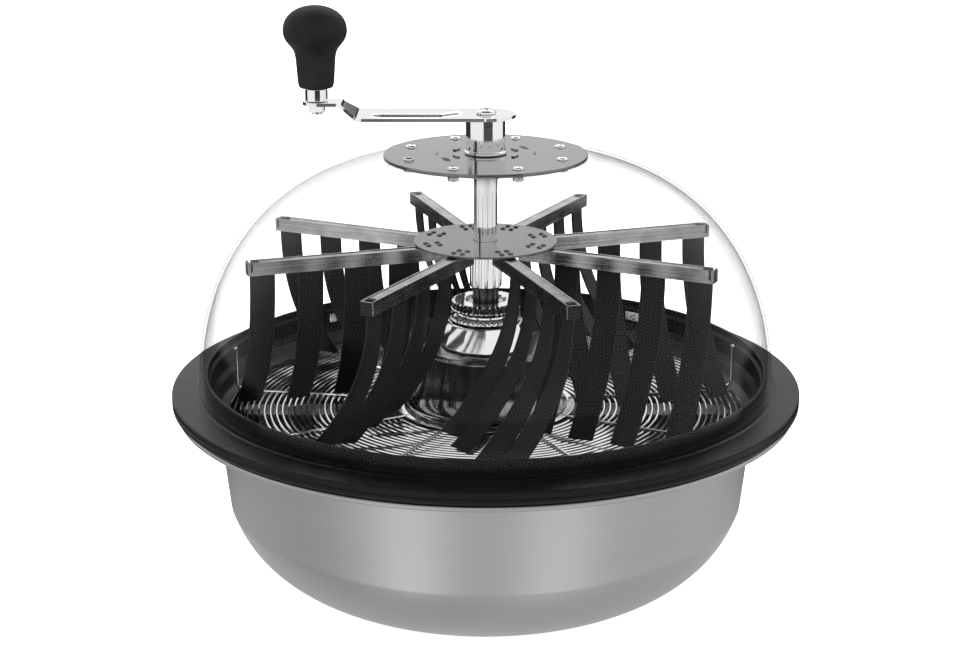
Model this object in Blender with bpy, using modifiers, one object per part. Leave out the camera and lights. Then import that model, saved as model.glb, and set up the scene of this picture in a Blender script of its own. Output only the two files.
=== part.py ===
"""Hand-cranked bowl leaf trimmer.

A stainless bowl carries a wire grate with a planetary gearbox in its middle and a blade underneath.
A lid ring with a clear dome rests on the bowl's flange. The crank on top turns a shaft with eight
arms, whose rubber straps sweep the grate, and drives the gearbox's input collar. Metres, +Z up,
origin under the middle of the bowl's foot.
"""

import math

import bmesh
import bpy
from mathutils import Matrix, Vector

# Driving dimensions, in metres.
GAP = 0.0003
ROUND = 36  # sides of the large turned pieces
TURNED = 24  # sides of the small turned pieces

RIM_RADIUS = 0.240
RIM_TOP = 0.1566
RIM_BEAD = 0.0023
FLANGE_TOP = 0.1565
SHEET = 0.0010
BOWL_RADIUS = 0.2086
BOWL_DEPTH = 0.1559
BOWL_CURVE_TOP = 0.1539
BOWL_CURVE_RADIUS = 0.0124
BOWL_CURVE_POWERS = (3.34, 2.79)
LEDGE_RADIUS = 0.2033
LEDGE_HEIGHT = 0.1444

GRATE_RADIUS = 0.202
GRATE_HEIGHT = 0.147
GRATE_WIRE = 0.0011
GRATE_RINGS = 6
GRATE_SIDES = 40
GRATE_SPOKES = (1, 5, 10, 15, 19, 23, 27, 33, 37)  # of the 40 sides
GRATE_PLATE_RADIUS = 0.070
HOOK_ANGLES = (11.0, 171.0)
HOOK_TOP = 0.184

RING_RADIUS = 0.2433
RING_LOW = 0.1569
RING_LIP_LOW = 0.159
RING_SHOULDER = 0.1694
RING_TOP = 0.1815
RING_LIP_TOP = 0.1673
RING_INNER = 0.209
RING_WALL = 0.2176

DOME_RADIUS = 0.222
DOME_FOOT = 0.1697
DOME_SPRING = 0.1726  # where the curve starts
DOME_RISE = 0.1764
DOME_POWERS = (2.033, 2.922)
DOME_LAND = 0.3445
DOME_WALL = 0.0025

PLATE_RADIUS = 0.0774
PLATE_TOP = 0.3475
SCREW_CIRCLE = 0.062
SCREW_COUNT = 8
SCREW_HOLE = 0.0024
CLIP_ANGLES = (52.5, 127.5, 232.5, 307.5)
CLIP_REACH = 0.2107
CLIP_HEIGHT = 0.1693

SHAFT_RADIUS = 0.009
SHOULDER_RADIUS = 0.015
BUSH_RADIUS = 0.0141
SHAFT_END = 0.246
ARM_BOTTOM = 0.3755  # underside of the crank arm
ARM_SHEET = 0.0025
TAB_RISE = 0.0095
KNOB_REACH = 0.127
KNOB_LOW = 0.3975

SPIDER_RADIUS = 0.055
SPIDER_TOP = 0.2801
SPIDER_SHEET = 0.0015
ARM_COUNT = 8
FIRST_ARM_ANGLE = 243.9
CHANNEL_SIZE = 0.010
CHANNEL_WALL = 0.0015
CHANNEL_START = 0.030
CHANNEL_END = 0.1865
STRAP_CENTRES = (0.068, 0.1025, 0.138, 0.175)
STRAP_WIDTH = 0.019
STRAP_THICKNESS = 0.0018
STRAP_BOTTOM = 0.1508
STRAP_SWEEP = 0.052
STRAP_CURVE = 2.2
STRAP_ROWS = 6

MODULE = 0.0015
RING_TEETH = 54
SUN_TEETH = 18
PLANET_TEETH = 18
PLANET_COUNT = 3
FIRST_PLANET_ANGLE = 90.0
GEAR_LOW = 0.168
GEAR_HIGH = 0.182
BACKLASH = 0.0005
PIN_RADIUS = 0.004
CARRIER_RADIUS = MODULE * (SUN_TEETH + PLANET_TEETH) / 2
CARRIER_LOW = 0.163
CARRIER_TOP = 0.1664
BLADE_BUSH_RADIUS = 0.0099
INPUT_BUSH_RADIUS = 0.0161
BLADE_SHAFT_RADIUS = 0.006
BLADE_THREAD_RADIUS = 0.005
BLADE_TOP = 0.1425
BLADE_RADIUS = 0.192
NECK_RADIUS = 0.012
COLLAR_RADIUS = 0.0275
COLLAR_LOW = 0.2173
COLLAR_TOP = 0.233
SPLINES = 12

PAINTS = {
    "stainless": ((0.62, 0.62, 0.61), 0.28, 1.0),
    "polished_steel": ((0.75, 0.75, 0.75), 0.08, 1.0),
    "brushed_steel": ((0.55, 0.55, 0.54), 0.35, 1.0),
    "gear_steel": ((0.40, 0.40, 0.41), 0.40, 1.0),
    "bronze": ((0.62, 0.42, 0.20), 0.40, 1.0),
    "black_plastic": ((0.02, 0.02, 0.02), 0.35, 0.0),
    "black_rubber": ((0.015, 0.015, 0.015), 0.60, 0.0),
    "clear_acrylic": ((0.95, 0.97, 0.98), 0.03, 0.0),
}


def clear_scene():
    for obj in list(bpy.data.objects):
        bpy.data.objects.remove(obj)


def collection(name):
    made = bpy.data.collections.new(name)
    bpy.context.scene.collection.children.link(made)
    return made


def material(name, paint):
    colour, roughness, metallic = PAINTS[paint]
    made = bpy.data.materials.new(name)
    made.use_nodes = True
    shader = made.node_tree.nodes["Principled BSDF"]
    shader.inputs["Base Color"].default_value = (*colour, 1.0)
    shader.inputs["Roughness"].default_value = roughness
    shader.inputs["Metallic"].default_value = metallic
    return made


def add(name, data, paint, parent):
    """A named object in the part's collection. Copies that share data share its material too."""
    obj = bpy.data.objects.new(name, data)
    PART.objects.link(obj)
    if not data.materials:
        data.materials.append(material(name, paint))
    obj.parent = parent
    return obj


def body(name, parent=None, place=(0.0, 0.0, 0.0)):
    """An empty on the axis of a moving body. Place is in world coordinates."""
    empty = bpy.data.objects.new(name, None)
    PART.objects.link(empty)
    empty.location = place
    if parent is not None:
        empty.location = Vector(place) - Vector(parent.location)
        empty.parent = parent
    return empty


def evaluated_mesh(obj):
    bpy.context.view_layer.update()
    graph = bpy.context.evaluated_depsgraph_get()
    mesh = bpy.data.meshes.new_from_object(obj.evaluated_get(graph))
    mesh.transform(obj.matrix_world)
    shape = bmesh.new()
    shape.from_mesh(mesh)
    bmesh.ops.remove_doubles(shape, verts=shape.verts, dist=1e-6)
    bmesh.ops.recalc_face_normals(shape, faces=shape.faces)
    shape.to_mesh(mesh)
    shape.free()
    return mesh


def as_cutter(obj):
    """Turns an object into a hidden boolean operand made of a plain mesh."""
    mesh = evaluated_mesh(obj)
    cutter = bpy.data.objects.new(obj.name + "_cutter", mesh)
    CUTTERS.objects.link(cutter)
    bpy.data.objects.remove(obj)
    cutter.hide_render = True
    cutter.display_type = "WIRE"
    return cutter


def combine(obj, other, operation):
    """Adds a boolean of another object, which becomes a cutter."""
    modifier = obj.modifiers.new(operation.title(), "BOOLEAN")
    modifier.operation = operation
    modifier.solver = "EXACT"
    modifier.object = as_cutter(other)


def turned_mesh(name, profile, sides, axis_ends=False):
    """A profile of (radius, height) turned about Z. It runs down the outer side of the solid."""
    mesh = bpy.data.meshes.new(name)
    points = [(radius, 0.0, height) for radius, height in profile]
    edges = [(i, i + 1) for i in range(len(points) - 1)]
    if not axis_ends:
        edges.append((len(points) - 1, 0))
    mesh.from_pydata(points, edges, [])
    obj = bpy.data.objects.new(name, mesh)
    PART.objects.link(obj)
    screw = obj.modifiers.new("Turn", "SCREW")
    screw.axis = "Z"
    screw.angle = math.tau
    screw.steps = sides
    screw.render_steps = sides
    screw.use_merge_vertices = True
    screw.merge_threshold = 0.00001
    made = evaluated_mesh(obj)
    bpy.data.objects.remove(obj)
    made.name = name
    made.shade_smooth()
    made.set_sharp_from_angle(angle=math.radians(35))
    return made


def turned(name, profile, paint, parent, sides=TURNED, axis_ends=False):
    return add(name, turned_mesh(name, profile, sides, axis_ends), paint, parent)


def circle(radius, sides, centre=(0.0, 0.0), start=0.0):
    """The corners of a regular outline, in the plane."""
    return [
        (
            centre[0] + radius * math.cos(start + math.tau * i / sides),
            centre[1] + radius * math.sin(start + math.tau * i / sides),
        )
        for i in range(sides)
    ]


def polar(radius, degrees):
    angle = math.radians(degrees)
    return radius * math.cos(angle), radius * math.sin(angle)


def outline_curve(name, outlines, thickness):
    """A flat curve of closed outlines, the first one solid and the others holes, thickened evenly."""
    curve = bpy.data.curves.new(name, "CURVE")
    curve.dimensions = "2D"
    curve.fill_mode = "BOTH"
    curve.extrude = thickness / 2
    for points in outlines:
        spline = curve.splines.new("POLY")
        spline.points.add(len(points) - 1)
        for point, (x, y) in zip(spline.points, points):
            point.co = (x, y, 0.0, 1.0)
        spline.use_cyclic_u = True
    return curve


def plate(name, outlines, low, high, paint, parent):
    """A flat outline with holes, standing between two heights."""
    obj = bpy.data.objects.new(name, outline_curve(name, outlines, high - low))
    PART.objects.link(obj)
    obj.location.z = (low + high) / 2
    mesh = evaluated_mesh(obj)
    bpy.data.objects.remove(obj)
    mesh.materials.clear()
    return add(name, mesh, paint, parent)


def offset(points, distance):
    """The open polyline moved to the left of its direction by the distance."""
    moved = []
    for i, (x, y) in enumerate(points):
        x0, y0 = points[max(i - 1, 0)]
        x1, y1 = points[min(i + 1, len(points) - 1)]
        length = math.hypot(x1 - x0, y1 - y0)
        moved.append((x - distance * (y1 - y0) / length, y + distance * (x1 - x0) / length))
    return moved


def arc(centre, radius, first, last, steps):
    """Points round a centre, from one angle to another, in degrees."""
    found = []
    for i in range(steps + 1):
        x, y = polar(radius, first + (last - first) * i / steps)
        found.append((centre[0] + x, centre[1] + y))
    return found


# The bowl and its grate.


def bowl_wall(steps=7):
    """The outside of the bowl from under the ledge down to the foot: a superellipse cut at z = 0."""
    along, across = BOWL_CURVE_POWERS
    last = math.asin((BOWL_CURVE_TOP / BOWL_DEPTH) ** (along / 2))
    first = 0.32
    points = []
    for i in range(steps + 1):
        turn = first + (last - first) * i / steps
        height = BOWL_CURVE_TOP - BOWL_DEPTH * math.sin(turn) ** (2 / along)
        reach = BOWL_RADIUS - BOWL_CURVE_RADIUS
        points.append((BOWL_CURVE_RADIUS + reach * math.cos(turn) ** (2 / across), height))
    points[-1] = (points[-1][0], 0.0)
    return points


def make_bowl(parent):
    ledge = [
        (BOWL_RADIUS + 0.0045, FLANGE_TOP - SHEET),
        (BOWL_RADIUS + 0.0012, LEDGE_HEIGHT + 0.0026),
        (LEDGE_RADIUS, LEDGE_HEIGHT),
        (BOWL_RADIUS - 0.0003, LEDGE_HEIGHT - 0.0028),
    ]
    bead = (RIM_RADIUS - RIM_BEAD, RIM_TOP - RIM_BEAD)
    outside = [(bead[0] - 0.0023, FLANGE_TOP - SHEET), *ledge, *bowl_wall()]
    inside = offset(outside, -SHEET)
    inside[0] = (outside[0][0] - 0.0002, FLANGE_TOP)
    foot_radius = outside[-1][0]
    inside[-1] = (foot_radius - 0.0006, SHEET)
    rim = arc(bead, RIM_BEAD, 90, -150, 5)
    profile = [(0.0, SHEET), *reversed(inside), *rim, *outside, (0.0, 0.0)]
    return turned("bowl", profile, "stainless", parent, ROUND, axis_ends=True)


def grate_web():
    """A flat polar net: one face between each pair of neighbouring rings and spokes."""
    shape = bmesh.new()
    inner = GRATE_PLATE_RADIUS - 0.004
    step = (GRATE_RADIUS - GRATE_WIRE - inner) / (GRATE_RINGS - 1)
    rings = []
    for i in range(GRATE_RINGS):
        corners = circle(inner + i * step, GRATE_SIDES)
        rings.append([shape.verts.new((x, y, GRATE_HEIGHT)) for x, y in corners])
    spokes = [*GRATE_SPOKES, GRATE_SPOKES[0] + GRATE_SIDES]
    for near, far in zip(rings, rings[1:]):
        for start, end in zip(spokes, spokes[1:]):
            sides = [i % GRATE_SIDES for i in range(start, end + 1)]
            shape.faces.new([far[i] for i in sides] + [near[i] for i in reversed(sides)])
    mesh = bpy.data.meshes.new("grate")
    shape.to_mesh(mesh)
    shape.free()
    return mesh


def make_grate(parent):
    net = bpy.data.objects.new("net", grate_web())
    PART.objects.link(net)
    wire = net.modifiers.new("Wires", "WIREFRAME")
    wire.thickness = 2 * GRATE_WIRE
    wire.use_boundary = True
    wire.use_replace = True
    wire.use_even_offset = False
    mesh = evaluated_mesh(net)
    bpy.data.objects.remove(net)
    mesh.materials.clear()
    grate = add("grate", mesh, "polished_steel", parent)
    outlines = [circle(GRATE_PLATE_RADIUS, GRATE_SIDES, start=0.01), circle(0.0125, 16)]
    low = GRATE_HEIGHT - 0.0013
    disc = plate("grate_disc", outlines, low, low + 0.0029, "polished_steel", None)
    combine(grate, disc, "UNION")
    return grate


def make_hook(name, degrees, parent):
    """The turned-up end of a radial wire, by which the grate is lifted out."""
    foot = GRATE_HEIGHT + 2 * GRATE_WIRE + GAP
    reach = GRATE_RADIUS - 0.0005
    bend = arc((reach - 0.003, foot + 0.003), 0.003, -90, 0, 3)
    side = [(reach - 0.010, foot), *bend, (reach, HOOK_TOP - 0.003), (reach, HOOK_TOP)]
    curve = bpy.data.curves.new(name, "CURVE")
    curve.dimensions = "3D"
    curve.bevel_depth = GRATE_WIRE
    curve.bevel_resolution = 1
    curve.use_fill_caps = True
    spline = curve.splines.new("POLY")
    spline.points.add(len(side) - 1)
    for point, (radius, height) in zip(spline.points, side):
        point.co = (*polar(radius, degrees), height, 1.0)
    spline.points[-1].radius = 1.5
    return add(name, curve, "polished_steel", parent)


# The gearbox.


def toothed(teeth, pitch_radius, tip, root, phase=0.0, sides=1):
    """A gear's outline. Tip and root are distances from the pitch circle; sides is -1 for inward teeth."""
    half = (math.pi * pitch_radius / teeth - BACKLASH) / 2
    slope = math.tan(math.radians(20))
    points = []
    for i in range(teeth):
        middle = math.radians(phase) + math.tau * i / teeth
        for step, out in ((-1, -root), (-1, tip), (1, tip), (1, -root)):
            radius = pitch_radius + sides * out
            angle = middle + step * (half - slope * out) / radius
            points.append((radius * math.cos(angle), radius * math.sin(angle)))
    return points


def make_ring_gear(parent):
    """The driven internal gear with its web and the neck that comes up through the cap."""
    pitch = MODULE * RING_TEETH / 2
    teeth = toothed(RING_TEETH, pitch, 0.0010, 0.0017, FIRST_PLANET_ANGLE, sides=-1)
    outer = pitch + 0.006
    top = GEAR_HIGH + 0.0015
    gear = plate("ring_gear", [circle(outer, ROUND), teeth], GEAR_LOW, top, "gear_steel", parent)
    web = [
        (0.0, COLLAR_LOW - GAP),
        (NECK_RADIUS, COLLAR_LOW - GAP),
        (NECK_RADIUS, top + 0.003),
        (outer - 0.0006, top + 0.003),
        (outer - 0.0006, top - 0.0006),
        (0.0, top - 0.0006),
    ]
    combine(gear, turned("ring_web", web, "gear_steel", None, axis_ends=True), "UNION")
    return gear


def make_planet(index, parent):
    """One planet and its pin. The planet shows a gap to the sun and to the ring."""
    degrees = FIRST_PLANET_ANGLE + 360 * index / PLANET_COUNT
    x, y = polar(CARRIER_RADIUS, degrees)
    carrier = body(f"planet_{index + 1}_axis", parent, (x, y, 0.0))
    pitch = MODULE * PLANET_TEETH / 2
    teeth = toothed(PLANET_TEETH, pitch, 0.0011, 0.0017, degrees + 180 / PLANET_TEETH)
    outlines = [teeth, circle(PIN_RADIUS + GAP, 12)]
    low = GEAR_LOW - 0.0008
    plate(f"planet_gear_{index + 1}", outlines, low, GEAR_HIGH, "gear_steel", carrier)
    top = GEAR_HIGH + 0.0005
    seat = GEAR_LOW - 0.0013
    profile = [
        (0.0, top),
        (PIN_RADIUS, top),
        (PIN_RADIUS, seat),
        (PIN_RADIUS - 0.001, seat),
        (PIN_RADIUS - 0.001, seat - 0.0034),
        (0.0, seat - 0.0034),
    ]
    pin = turned(f"planet_pin_{index + 1}", profile, "gear_steel", parent, 12, axis_ends=True)
    pin.location = (x, y, 0.0)


def make_gearbox_floor(parent):
    """The fixed carrier: it closes the housing and holds the three pins and the blade's bush."""
    outlines = [circle(0.0469, TURNED), circle(BLADE_BUSH_RADIUS + 0.0004, 16)]
    for index in range(PLANET_COUNT):
        centre = polar(CARRIER_RADIUS, FIRST_PLANET_ANGLE + 360 * index / PLANET_COUNT)
        outlines.append(circle(PIN_RADIUS - 0.001 + GAP, 12, centre))
    plate("gearbox_floor", outlines, CARRIER_LOW, CARRIER_TOP, "brushed_steel", parent)
    inner = BLADE_SHAFT_RADIUS + 0.00025
    top = CARRIER_TOP + GAP
    bush = [(inner, top), (BLADE_BUSH_RADIUS, top), (BLADE_BUSH_RADIUS, 0.158), (inner, 0.158)]
    turned("blade_bush", bush, "bronze", parent, 16)


def make_housing(parent):
    """The polished drum, its flared foot standing on the grate's disc, and the faceted cap."""
    foot = GRATE_HEIGHT + 0.0019
    drum = [
        (0.0252, 0.1971),
        (0.0485, 0.1965),
        (0.0500, 0.1945),
        (0.0500, 0.1760),
        (0.0515, 0.1610),
        (0.0555, 0.1550),
        (0.0640, 0.1510),
        (0.0640, foot),
        (0.0500, foot),
        (0.0476, 0.1530),
        (0.0476, 0.1940),
        (0.0252, 0.1940),
    ]
    turned("gearbox_housing", drum, "polished_steel", parent)
    cap = [
        (0.0168, 0.2163),
        (0.0290, 0.2163),
        (0.0300, 0.2150),
        (0.0358, 0.1985),
        (0.0350, 0.1974),
        (0.0249, 0.1974),
        (0.0249, 0.1935),
        (0.0168, 0.1935),
    ]
    turned("gearbox_cap", cap, "polished_steel", parent, 12)
    inner, outer = NECK_RADIUS + GAP, INPUT_BUSH_RADIUS
    bush = [(inner, 0.2160), (outer, 0.2160), (outer, 0.1945), (inner, 0.1945)]
    turned("input_bush", bush, "bronze", parent)


def spline_outline(root, tip):
    return toothed(SPLINES, (root + tip) / 2, (tip - root) / 2, (tip - root) / 2)


def make_collar(parent):
    """The driven socket on the gearbox: an open cup on top, a splined bore below."""
    profile = [
        (0.0050, 0.2245),
        (0.0155, 0.2250),
        (0.0155, COLLAR_TOP),
        (COLLAR_RADIUS - 0.002, COLLAR_TOP),
        (COLLAR_RADIUS - 0.001, 0.2255),
        (COLLAR_RADIUS - 0.003, 0.2250),
        (COLLAR_RADIUS - 0.003, 0.2225),
        (COLLAR_RADIUS, 0.2220),
        (COLLAR_RADIUS, COLLAR_LOW),
        (0.0050, COLLAR_LOW),
    ]
    collar = turned("input_collar", profile, "polished_steel", parent)
    socket = plate(
        "socket", [spline_outline(0.0087, 0.0107)], 0.2183, 0.230, "gear_steel", None
    )
    combine(collar, socket, "DIFFERENCE")
    return collar


def make_blade(parent):
    """The sun gear with its shaft, the two-armed blade on its threaded end, and the nut."""
    pitch = MODULE * SUN_TEETH / 2
    teeth = toothed(SUN_TEETH, pitch, 0.0011, 0.0017, FIRST_PLANET_ANGLE)
    sun = plate("sun_gear", [teeth], GEAR_LOW, GEAR_HIGH, "gear_steel", parent)
    shaft = [
        (0.0, GEAR_LOW + 0.004),
        (BLADE_SHAFT_RADIUS, GEAR_LOW + 0.004),
        (BLADE_SHAFT_RADIUS, BLADE_TOP + GAP),
        (BLADE_THREAD_RADIUS, BLADE_TOP + GAP),
        (BLADE_THREAD_RADIUS, 0.1325),
        (0.0, 0.1325),
    ]
    combine(sun, turned("blade_shaft", shaft, "gear_steel", None, 16, axis_ends=True), "UNION")
    hole = circle(BLADE_THREAD_RADIUS + GAP, 16)
    half = [
        (0.022, -0.018),
        (0.060, -0.014),
        (BLADE_RADIUS - 0.006, -0.012),
        (BLADE_RADIUS, -0.006),
        (BLADE_RADIUS - 0.004, 0.012),
        (0.060, 0.016),
        (0.022, 0.018),
    ]
    outline = half + [(-x, -y) for x, y in half]
    low = BLADE_TOP - 0.0025
    plate("cutting_blade", [outline, hole], low, BLADE_TOP, "brushed_steel", parent)
    nut = [circle(0.0095, 6), hole]
    plate("blade_nut", nut, low - 0.0063, low - GAP, "brushed_steel", parent)


# The lid.


def make_lid_ring(parent):
    profile = [
        (0.2152, RING_TOP),
        (RING_WALL - 0.0005, RING_TOP),
        (RING_WALL, RING_TOP - 0.001),
        (RING_WALL, RING_SHOULDER),
        (0.2234, RING_SHOULDER),
        (RING_RADIUS - 0.0010, RING_LIP_TOP + 0.0008),
        (RING_RADIUS, RING_LIP_TOP),
        (RING_RADIUS, RING_LIP_LOW + 0.0008),
        (RING_RADIUS - 0.0008, RING_LIP_LOW),
        (RIM_RADIUS, RING_LIP_LOW),
        (RIM_RADIUS - 0.0006, RING_LOW),
        (0.2365, RING_LOW),
        (0.2365, 0.1620),
        (0.2240, 0.1660),
        (0.2190, 0.1660),
        (0.2190, RING_LOW),
        (RING_INNER + 0.0015, RING_LOW),
        (RING_INNER, RING_LOW + 0.0012),
        (0.2130, 0.1625),
        (0.2130, 0.1745),
        (0.2152, 0.1765),
    ]
    return turned("lid_ring", profile, "black_plastic", parent, ROUND)


def dome_side(steps=8):
    """The dome's outside from its flat land down to its foot."""
    along, across = DOME_POWERS
    last = math.asin(((DOME_LAND - DOME_SPRING) / DOME_RISE) ** (along / 2))
    points = []
    for i in range(steps + 1):
        turn = last * (1 - i / steps)
        height = DOME_SPRING + DOME_RISE * math.sin(turn) ** (2 / along)
        points.append((DOME_RADIUS * math.cos(turn) ** (2 / across), height))
    points[-1] = (DOME_RADIUS, DOME_FOOT)
    return points


def make_dome(parent):
    outside = dome_side()
    inside = offset(outside, -DOME_WALL)
    inside[0] = (outside[0][0] - 0.001, DOME_LAND - DOME_WALL)
    inside[-1] = (DOME_RADIUS - DOME_WALL, DOME_FOOT)
    hole = BUSH_RADIUS + 0.0005
    land = [(hole, DOME_LAND - DOME_WALL), (hole, DOME_LAND)]
    dome = turned("dome", [*land, *outside, *reversed(inside)], "clear_acrylic", parent, ROUND)
    for index in range(SCREW_COUNT):
        centre = polar(SCREW_CIRCLE, screw_angle(index))
        drill = plate(
            f"drill_{index + 1}", [circle(SCREW_HOLE, 8, centre)],
            DOME_LAND - 0.006, DOME_LAND + 0.003, "brushed_steel", None,
        )
        combine(dome, drill, "DIFFERENCE")
    return dome


def screw_angle(index):
    return 22.5 + 360 * index / SCREW_COUNT


def make_top_plate(parent):
    low = DOME_LAND + GAP
    outlines = [circle(PLATE_RADIUS, ROUND), circle(BUSH_RADIUS + 0.0004, TURNED)]
    for index in range(SCREW_COUNT):
        outlines.append(circle(SCREW_HOLE, 8, polar(SCREW_CIRCLE, screw_angle(index))))
    plate("top_plate", outlines, low, PLATE_TOP, "brushed_steel", parent)
    bush = [
        (SHAFT_RADIUS + GAP, PLATE_TOP + 0.0001),
        (BUSH_RADIUS, PLATE_TOP + 0.0001),
        (BUSH_RADIUS, DOME_LAND - DOME_WALL - GAP),
        (0.0200, DOME_LAND - DOME_WALL - GAP),
        (0.0200, 0.3386),
        (BUSH_RADIUS, 0.3380),
        (BUSH_RADIUS, 0.3300),
        (SHAFT_RADIUS + GAP, 0.3300),
    ]
    turned("shaft_bush", bush, "polished_steel", parent)


def make_plate_screws(parent):
    """Each screw with its nut inside the dome."""
    seat = PLATE_TOP + GAP
    nut = DOME_LAND - DOME_WALL - GAP
    profile = [
        (0.0, seat + 0.0020),
        (0.0030, seat + 0.0017),
        (0.0042, seat),
        (0.0020, seat),
        (0.0020, nut),
        (0.0040, nut),
        (0.0040, nut - 0.003),
        (0.0, nut - 0.003),
    ]
    mesh = turned_mesh("plate_screw", profile, 8, axis_ends=True)
    for index in range(SCREW_COUNT):
        screw = add(f"plate_screw_{index + 1}", mesh, "polished_steel", parent)
        screw.location = (*polar(SCREW_CIRCLE, screw_angle(index)), 0.0)


def make_dome_clips(parent):
    """Small plates screwed to the ring's inner wall."""
    size = Vector((0.0018, 0.017, 0.0075))
    shape = bmesh.new()
    bmesh.ops.create_cube(shape, size=1.0, matrix=Matrix.Diagonal((*size, 1.0)))
    mesh = bpy.data.meshes.new("dome_clip")
    shape.to_mesh(mesh)
    shape.free()
    shape = bmesh.new()
    place = Matrix.Translation((-0.0012, 0.0, 0.0)) @ Matrix.Rotation(math.pi / 2, 4, "Y")
    bmesh.ops.create_cone(
        shape, cap_ends=True, segments=10, radius1=0.0028, radius2=0.0028, depth=0.0014,
        matrix=place,
    )
    head = bpy.data.meshes.new("clip_screw")
    shape.to_mesh(head)
    shape.free()
    blank = add("dome_clip", mesh, "polished_steel", None)
    combine(blank, add("clip_screw", head, "polished_steel", None), "UNION")
    joined = evaluated_mesh(blank)
    bpy.data.objects.remove(blank)
    for index, degrees in enumerate(CLIP_ANGLES):
        clip = add(f"dome_clip_{index + 1}", joined, "polished_steel", parent)
        clip.location = (*polar(CLIP_REACH, degrees), CLIP_HEIGHT)
        clip.rotation_euler.z = math.radians(degrees)


# The crank.


def arm_half_width(x):
    """Half the crank arm's width at a distance x from the shaft, negative towards the knob."""
    hub = 0.023
    tab = 0.012
    end = -KNOB_REACH - 0.0105
    if x > 0:
        return math.sqrt(max(hub**2 - x**2, 0.0))
    if x > -0.092:
        return 0.0225
    if x > -0.112:
        return 0.0225 + (tab - 0.0225) * (-0.092 - x) / 0.020
    past = max(-KNOB_REACH + 0.0015 - x, 0.0) / (-KNOB_REACH + 0.0015 - end)
    return tab * math.sqrt(max(1 - past**2, 0.0))


def arm_rise(x):
    """How far the arm's sheet is folded up at x."""
    return TAB_RISE * min(max((-0.097 - x) / 0.013, 0.0), 1.0)


def rib_rise(x, across):
    """The pressed rib: a flat ridge with sloping sides that ends in a point towards the hub."""
    half = 0.0145 * min((x + 0.0885) / 0.010, 1.0, (-0.018 - x) / 0.018)
    return 0.0016 * min(max((half - abs(across)) / 0.003, 0.0), 1.0)


def make_crank_arm(parent):
    stations = [0.0229, 0.0205, 0.015, 0.008, 0.0, -0.018, -0.027, -0.036, -0.060, -0.0785]
    stations += [-0.0835, -0.0885, -0.092, -0.097, -0.110, -0.112, -0.1255, -0.132, -0.136, -0.1374]
    shares = (-1.0, -0.66, -0.50, 0.50, 0.66, 1.0)
    shape = bmesh.new()
    rows = []
    for x in stations:
        half = arm_half_width(x)
        row = []
        for share in shares:
            height = ARM_BOTTOM + arm_rise(x) + rib_rise(x, share * half)
            row.append(shape.verts.new((x, share * half, height)))
        rows.append(row)
    for near, far in zip(rows, rows[1:]):
        for i in range(len(shares) - 1):
            shape.faces.new((near[i], near[i + 1], far[i + 1], far[i]))
    mesh = bpy.data.meshes.new("crank_arm")
    bmesh.ops.recalc_face_normals(shape, faces=shape.faces)
    if shape.faces[:][0].normal.z < 0:
        bmesh.ops.reverse_faces(shape, faces=shape.faces)
    shape.to_mesh(mesh)
    shape.free()
    arm = add("crank_arm", mesh, "brushed_steel", parent)
    solid = arm.modifiers.new("Sheet", "SOLIDIFY")
    solid.thickness = ARM_SHEET
    solid.offset = 1.0
    for name, x in (("hub_drill", 0.0), ("tab_drill", -KNOB_REACH)):
        drill = plate(
            name, [circle(0.0044, 16, (x, 0.0))], ARM_BOTTOM - 0.004, ARM_BOTTOM + 0.018,
            "brushed_steel", None,
        )
        combine(arm, drill, "DIFFERENCE")
    return arm


def make_main_shaft(parent):
    """The shaft hangs by its thick shoulder. A blind hole in its top takes the hub screw."""
    top = ARM_BOTTOM - GAP
    shoulder = PLATE_TOP + 0.0005
    profile = [
        (0.0, 0.352),
        (0.0043, 0.352),
        (0.0043, top),
        (SHOULDER_RADIUS, top),
        (SHOULDER_RADIUS, shoulder),
        (SHAFT_RADIUS, shoulder),
        (SHAFT_RADIUS, SHAFT_END),
        (0.0, SHAFT_END),
    ]
    turned("main_shaft", profile, "polished_steel", parent, axis_ends=True)
    seat = ARM_BOTTOM + ARM_SHEET + GAP
    screw = [
        (0.0, seat + 0.0034),
        (0.0045, seat + 0.0030),
        (0.0078, seat + 0.0014),
        (0.0080, seat),
        (0.0040, seat),
        (0.0040, 0.3545),
        (0.0, 0.3545),
    ]
    turned("hub_screw", screw, "polished_steel", parent, 16, axis_ends=True)


def make_knob(crank, knob_axis):
    """The nut under the tab, the spindle standing on it, and the knob that turns on the spindle."""
    x = -KNOB_REACH
    tab_low = ARM_BOTTOM + TAB_RISE
    tab_top = tab_low + ARM_SHEET
    nut = [circle(0.0070, 6), circle(0.0043, 12)]
    nut = plate("knob_nut", nut, tab_low - 0.0058, tab_low - GAP, "polished_steel", crank)
    nut.location.x = x
    low = tab_low - 0.0075
    profile = [
        (0.0, 0.440),
        (0.0040, 0.440),
        (0.0040, KNOB_LOW - GAP),
        (0.0085, KNOB_LOW - GAP),
        (0.0085, tab_top + GAP),
        (0.0040, tab_top + GAP),
        (0.0040, low),
        (0.0, low),
    ]
    spindle = turned("knob_spindle", profile, "polished_steel", crank, 16, axis_ends=True)
    spindle.location.x = x
    grip = [
        (0.0, 0.4590),
        (0.0120, 0.4572),
        (0.0206, 0.4510),
        (0.0240, 0.4450),
        (0.0241, 0.4390),
        (0.0217, 0.4330),
        (0.0169, 0.4270),
        (0.0150, 0.4210),
        (0.0144, 0.4120),
        (0.0138, 0.4020),
        (0.0127, KNOB_LOW),
        (0.0044, KNOB_LOW),
        (0.0044, 0.441),
        (0.0, 0.441),
    ]
    turned("knob", grip, "black_rubber", knob_axis, 16, axis_ends=True)


def arm_angle(index):
    return FIRST_ARM_ANGLE - 360 * index / ARM_COUNT


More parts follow.
